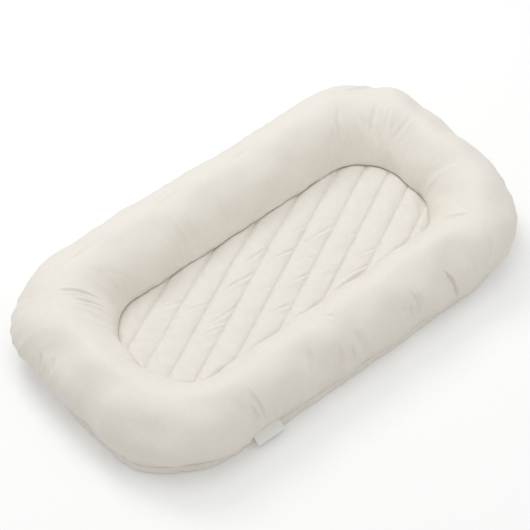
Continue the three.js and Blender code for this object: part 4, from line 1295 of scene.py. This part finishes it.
lining_cloth = fibrous("white non-woven lining", (0.90, 0.90, 0.88), 0.0012, 0.85, 0.0001)
case_walls = [inner_layer(LAYER_GAP), inner_layer(LAYER_GAP + INSERT_CLOTH)[:, ::-1]]
case_top = add_hoop("insert_lining_top", np.concatenate(case_walls, 1), insert_run,
                    out_and_back(across_length, INSERT_ROWS, INSERT_ROWS))
case_top.data.materials.append(lining_cloth)
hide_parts("insert_case_top")
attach(case_top, "root")

case_low = inner_base(INSERT_DEPTH, INSERT_DISH)
case_high = inner_base(INSERT_DEPTH + INSERT_CLOTH, INSERT_DISH + INSERT_CLOTH)[:, ::-1]
case_rows = case_low.shape[1]
case_base = add_hoop("insert_lining_base", np.concatenate([case_low, case_high], 1), insert_run,
                     out_and_back(CASE_BASE_LENGTH, case_rows, case_rows)[:-1], closed=False)
case_base.data.materials.append(lining_cloth)
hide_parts("insert_case_base")
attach(case_base, "root")

# The ring's filling
# Loose white polyester fibre that fills the insert case between its two cloths, all the way round.
FILL_DEPTH = 0.0024
FILL_DISH = 0.0152
FILL_TOP_LENGTH = 0.26
FILL_UNDER_FROM = 0.27
FILL_UNDER_TO = 0.38
FILL_ROWS = slice(10, -3)
fill_skin = inner_layer(FILL_DEPTH)
fill_under = inner_base(INSERT_DEPTH + INSERT_CLOTH + LAYER_GAP, FILL_DISH)[:, FILL_ROWS]
fill_across = np.concatenate([
    np.linspace(0, FILL_TOP_LENGTH, fill_skin.shape[1]),
    np.linspace(FILL_UNDER_FROM, FILL_UNDER_TO, fill_under.shape[1] + 1)])
filling = add_hoop("bolster_fibre", np.concatenate([fill_skin, fill_under], axis=1), insert_run, fill_across)
filling.data.materials.append(fibrous("polyester fibre", (0.94, 0.94, 0.93), 0.004, 0.9, 0.002))
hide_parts("bolster_fill")
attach(filling, "root")

# The centre pad
# A loose slab of bonded wadding under the quilted panel, cut a little smaller than the well and with
# edges softened by use.
PAD_UNDER_Z = 0.015
PAD_TOP_Z = 0.033
PAD_ROUND = 0.004
PAD_IN = 0.0006
PAD_FLAT_ROWS = 24
PAD_ROUND_ROWS = 13
PAD_ACROSS = 0.22
pad_share = cover_share[picked]
pad_middle = outline(ZIP_LENGTH, SLOT_WIDTH, SLOT_CORNER, pad_share) + PAD_SHIFT
pad_edge = well_outline(PAD_IN + PAD_ROUND, pad_share)
middle_z = (PAD_UNDER_Z + PAD_TOP_Z) / 2
half_z = (PAD_TOP_Z - PAD_UNDER_Z) / 2
pad_rows = [(pad_middle + (pad_edge - pad_middle) * t, PAD_UNDER_Z)
            for t in np.linspace(0.0, 1.0, PAD_FLAT_ROWS)]
for turn_by in np.linspace(-math.pi / 2, math.pi / 2, PAD_ROUND_ROWS)[1:-1]:
    rim = well_outline(PAD_IN + PAD_ROUND - PAD_ROUND * math.cos(turn_by), pad_share)
    pad_rows.append((rim, middle_z + half_z * math.sin(turn_by)))
pad_rows += [(row[0], PAD_TOP_Z) for row in pad_rows[PAD_FLAT_ROWS - 1::-1]]
pad_grid = raised_rows(pad_rows)
pad_across = np.linspace(0, PAD_ACROSS, pad_grid.shape[1])
pad = add_hoop("centre_wadding", pad_grid, insert_run, pad_across, closed=False)
pad.data.materials.append(fibrous("bonded wadding", (0.90, 0.89, 0.86), 0.003, 0.9, 0.0008))
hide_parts("centre_pad")
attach(pad, "root")

# The floor and the light
# A white sweep under three broad soft lamps: the strongest high behind the lounger on the left, one
# straight above it, and a weak warm one on the right. The floor keeps the soft shadow, and away from
# it is nearly as white as the background.
FLOOR_HALF = 6
FLOOR_COLOUR = (0.87, 0.857, 0.838, 1.0)
LIFT_COLOUR = (0.80, 0.90, 1.0, 1.0)
FLOOR_LIFT = 0.15
SKY_COLOUR = (1.0, 0.99, 0.975, 1.0)
SKY_STRENGTH = 0.62
WHITE = (1.0, 1.0, 1.0, 1.0)


def seen_directly(tree):
    """1 for rays from the camera, a mirror or glass, and 0 for the light that falls on things."""
    rays = tree.nodes.new("ShaderNodeLightPath").outputs
    through = calculate(tree, "MAXIMUM", rays["Is Glossy Ray"], rays["Is Transmission Ray"])
    return calculate(tree, "MAXIMUM", rays["Is Camera Ray"], through)


floor = add_mesh("floor", [(-FLOOR_HALF, -FLOOR_HALF, 0), (FLOOR_HALF, -FLOOR_HALF, 0),
                           (FLOOR_HALF, FLOOR_HALF, 0), (-FLOOR_HALF, FLOOR_HALF, 0)], [(0, 1, 2, 3)])
sweep, tree, shader = new_material("white sweep")
set_inputs(tree, shader, {"Base Color": FLOOR_COLOUR, "Roughness": 0.9, "Specular IOR Level": 0.0})
lift = calculate(tree, "MULTIPLY", seen_directly(tree), FLOOR_LIFT)
glow = add_node(tree, "ShaderNodeEmission", {0: LIFT_COLOUR, 1: lift})
both = add_node(tree, "ShaderNodeAddShader", {0: shader.outputs[0], 1: glow.outputs[0]})
tree.links.new(both.outputs[0], tree.nodes["Material Output"].inputs["Surface"])
floor.data.materials.append(sweep)

world = bpy.data.worlds.new("world")
scene.world = world
world.use_nodes = True
tree = world.node_tree
sky = tree.nodes["Background"]
set_inputs(tree, sky, {"Color": SKY_COLOUR, "Strength": SKY_STRENGTH})
white = add_node(tree, "ShaderNodeBackground", {0: WHITE, 1: 1.0})
choice = add_node(tree, "ShaderNodeMixShader", {
    0: seen_directly(tree), 1: sky.outputs[0], 2: white.outputs[0]})
tree.links.new(choice.outputs[0], tree.nodes["World Output"].inputs["Surface"])

# Each lamp's place, width, power and colour. All of them look at the middle of the lounger.
LAMPS = [
    ("high lamp", (0.2, 1.8, 2.4), 1.2, 23.0, (0.96, 0.985, 1.0)),
    ("front lamp", (1.2, -1.3, 2.3), 1.6, 3.6, (1.0, 0.97, 0.92)),
    ("top lamp", (0.0, 0.1, 3.0), 1.8, 18.0, (0.95, 0.98, 1.0)),
]
for name, place, across, power, colour in LAMPS:
    light = bpy.data.lights.new(name, "AREA")
    light.shape = "SQUARE"
    light.size = across
    light.energy = power
    light.color = colour
    lamp = bpy.data.objects.new(name, light)
    lamp.location = place
    aim = -np.array(place)
    lamp.rotation_euler = (math.atan2(np.linalg.norm(aim[:2]), -aim[2]), 0.0, math.atan2(-aim[0], aim[1]))
    scene.collection.objects.link(lamp)
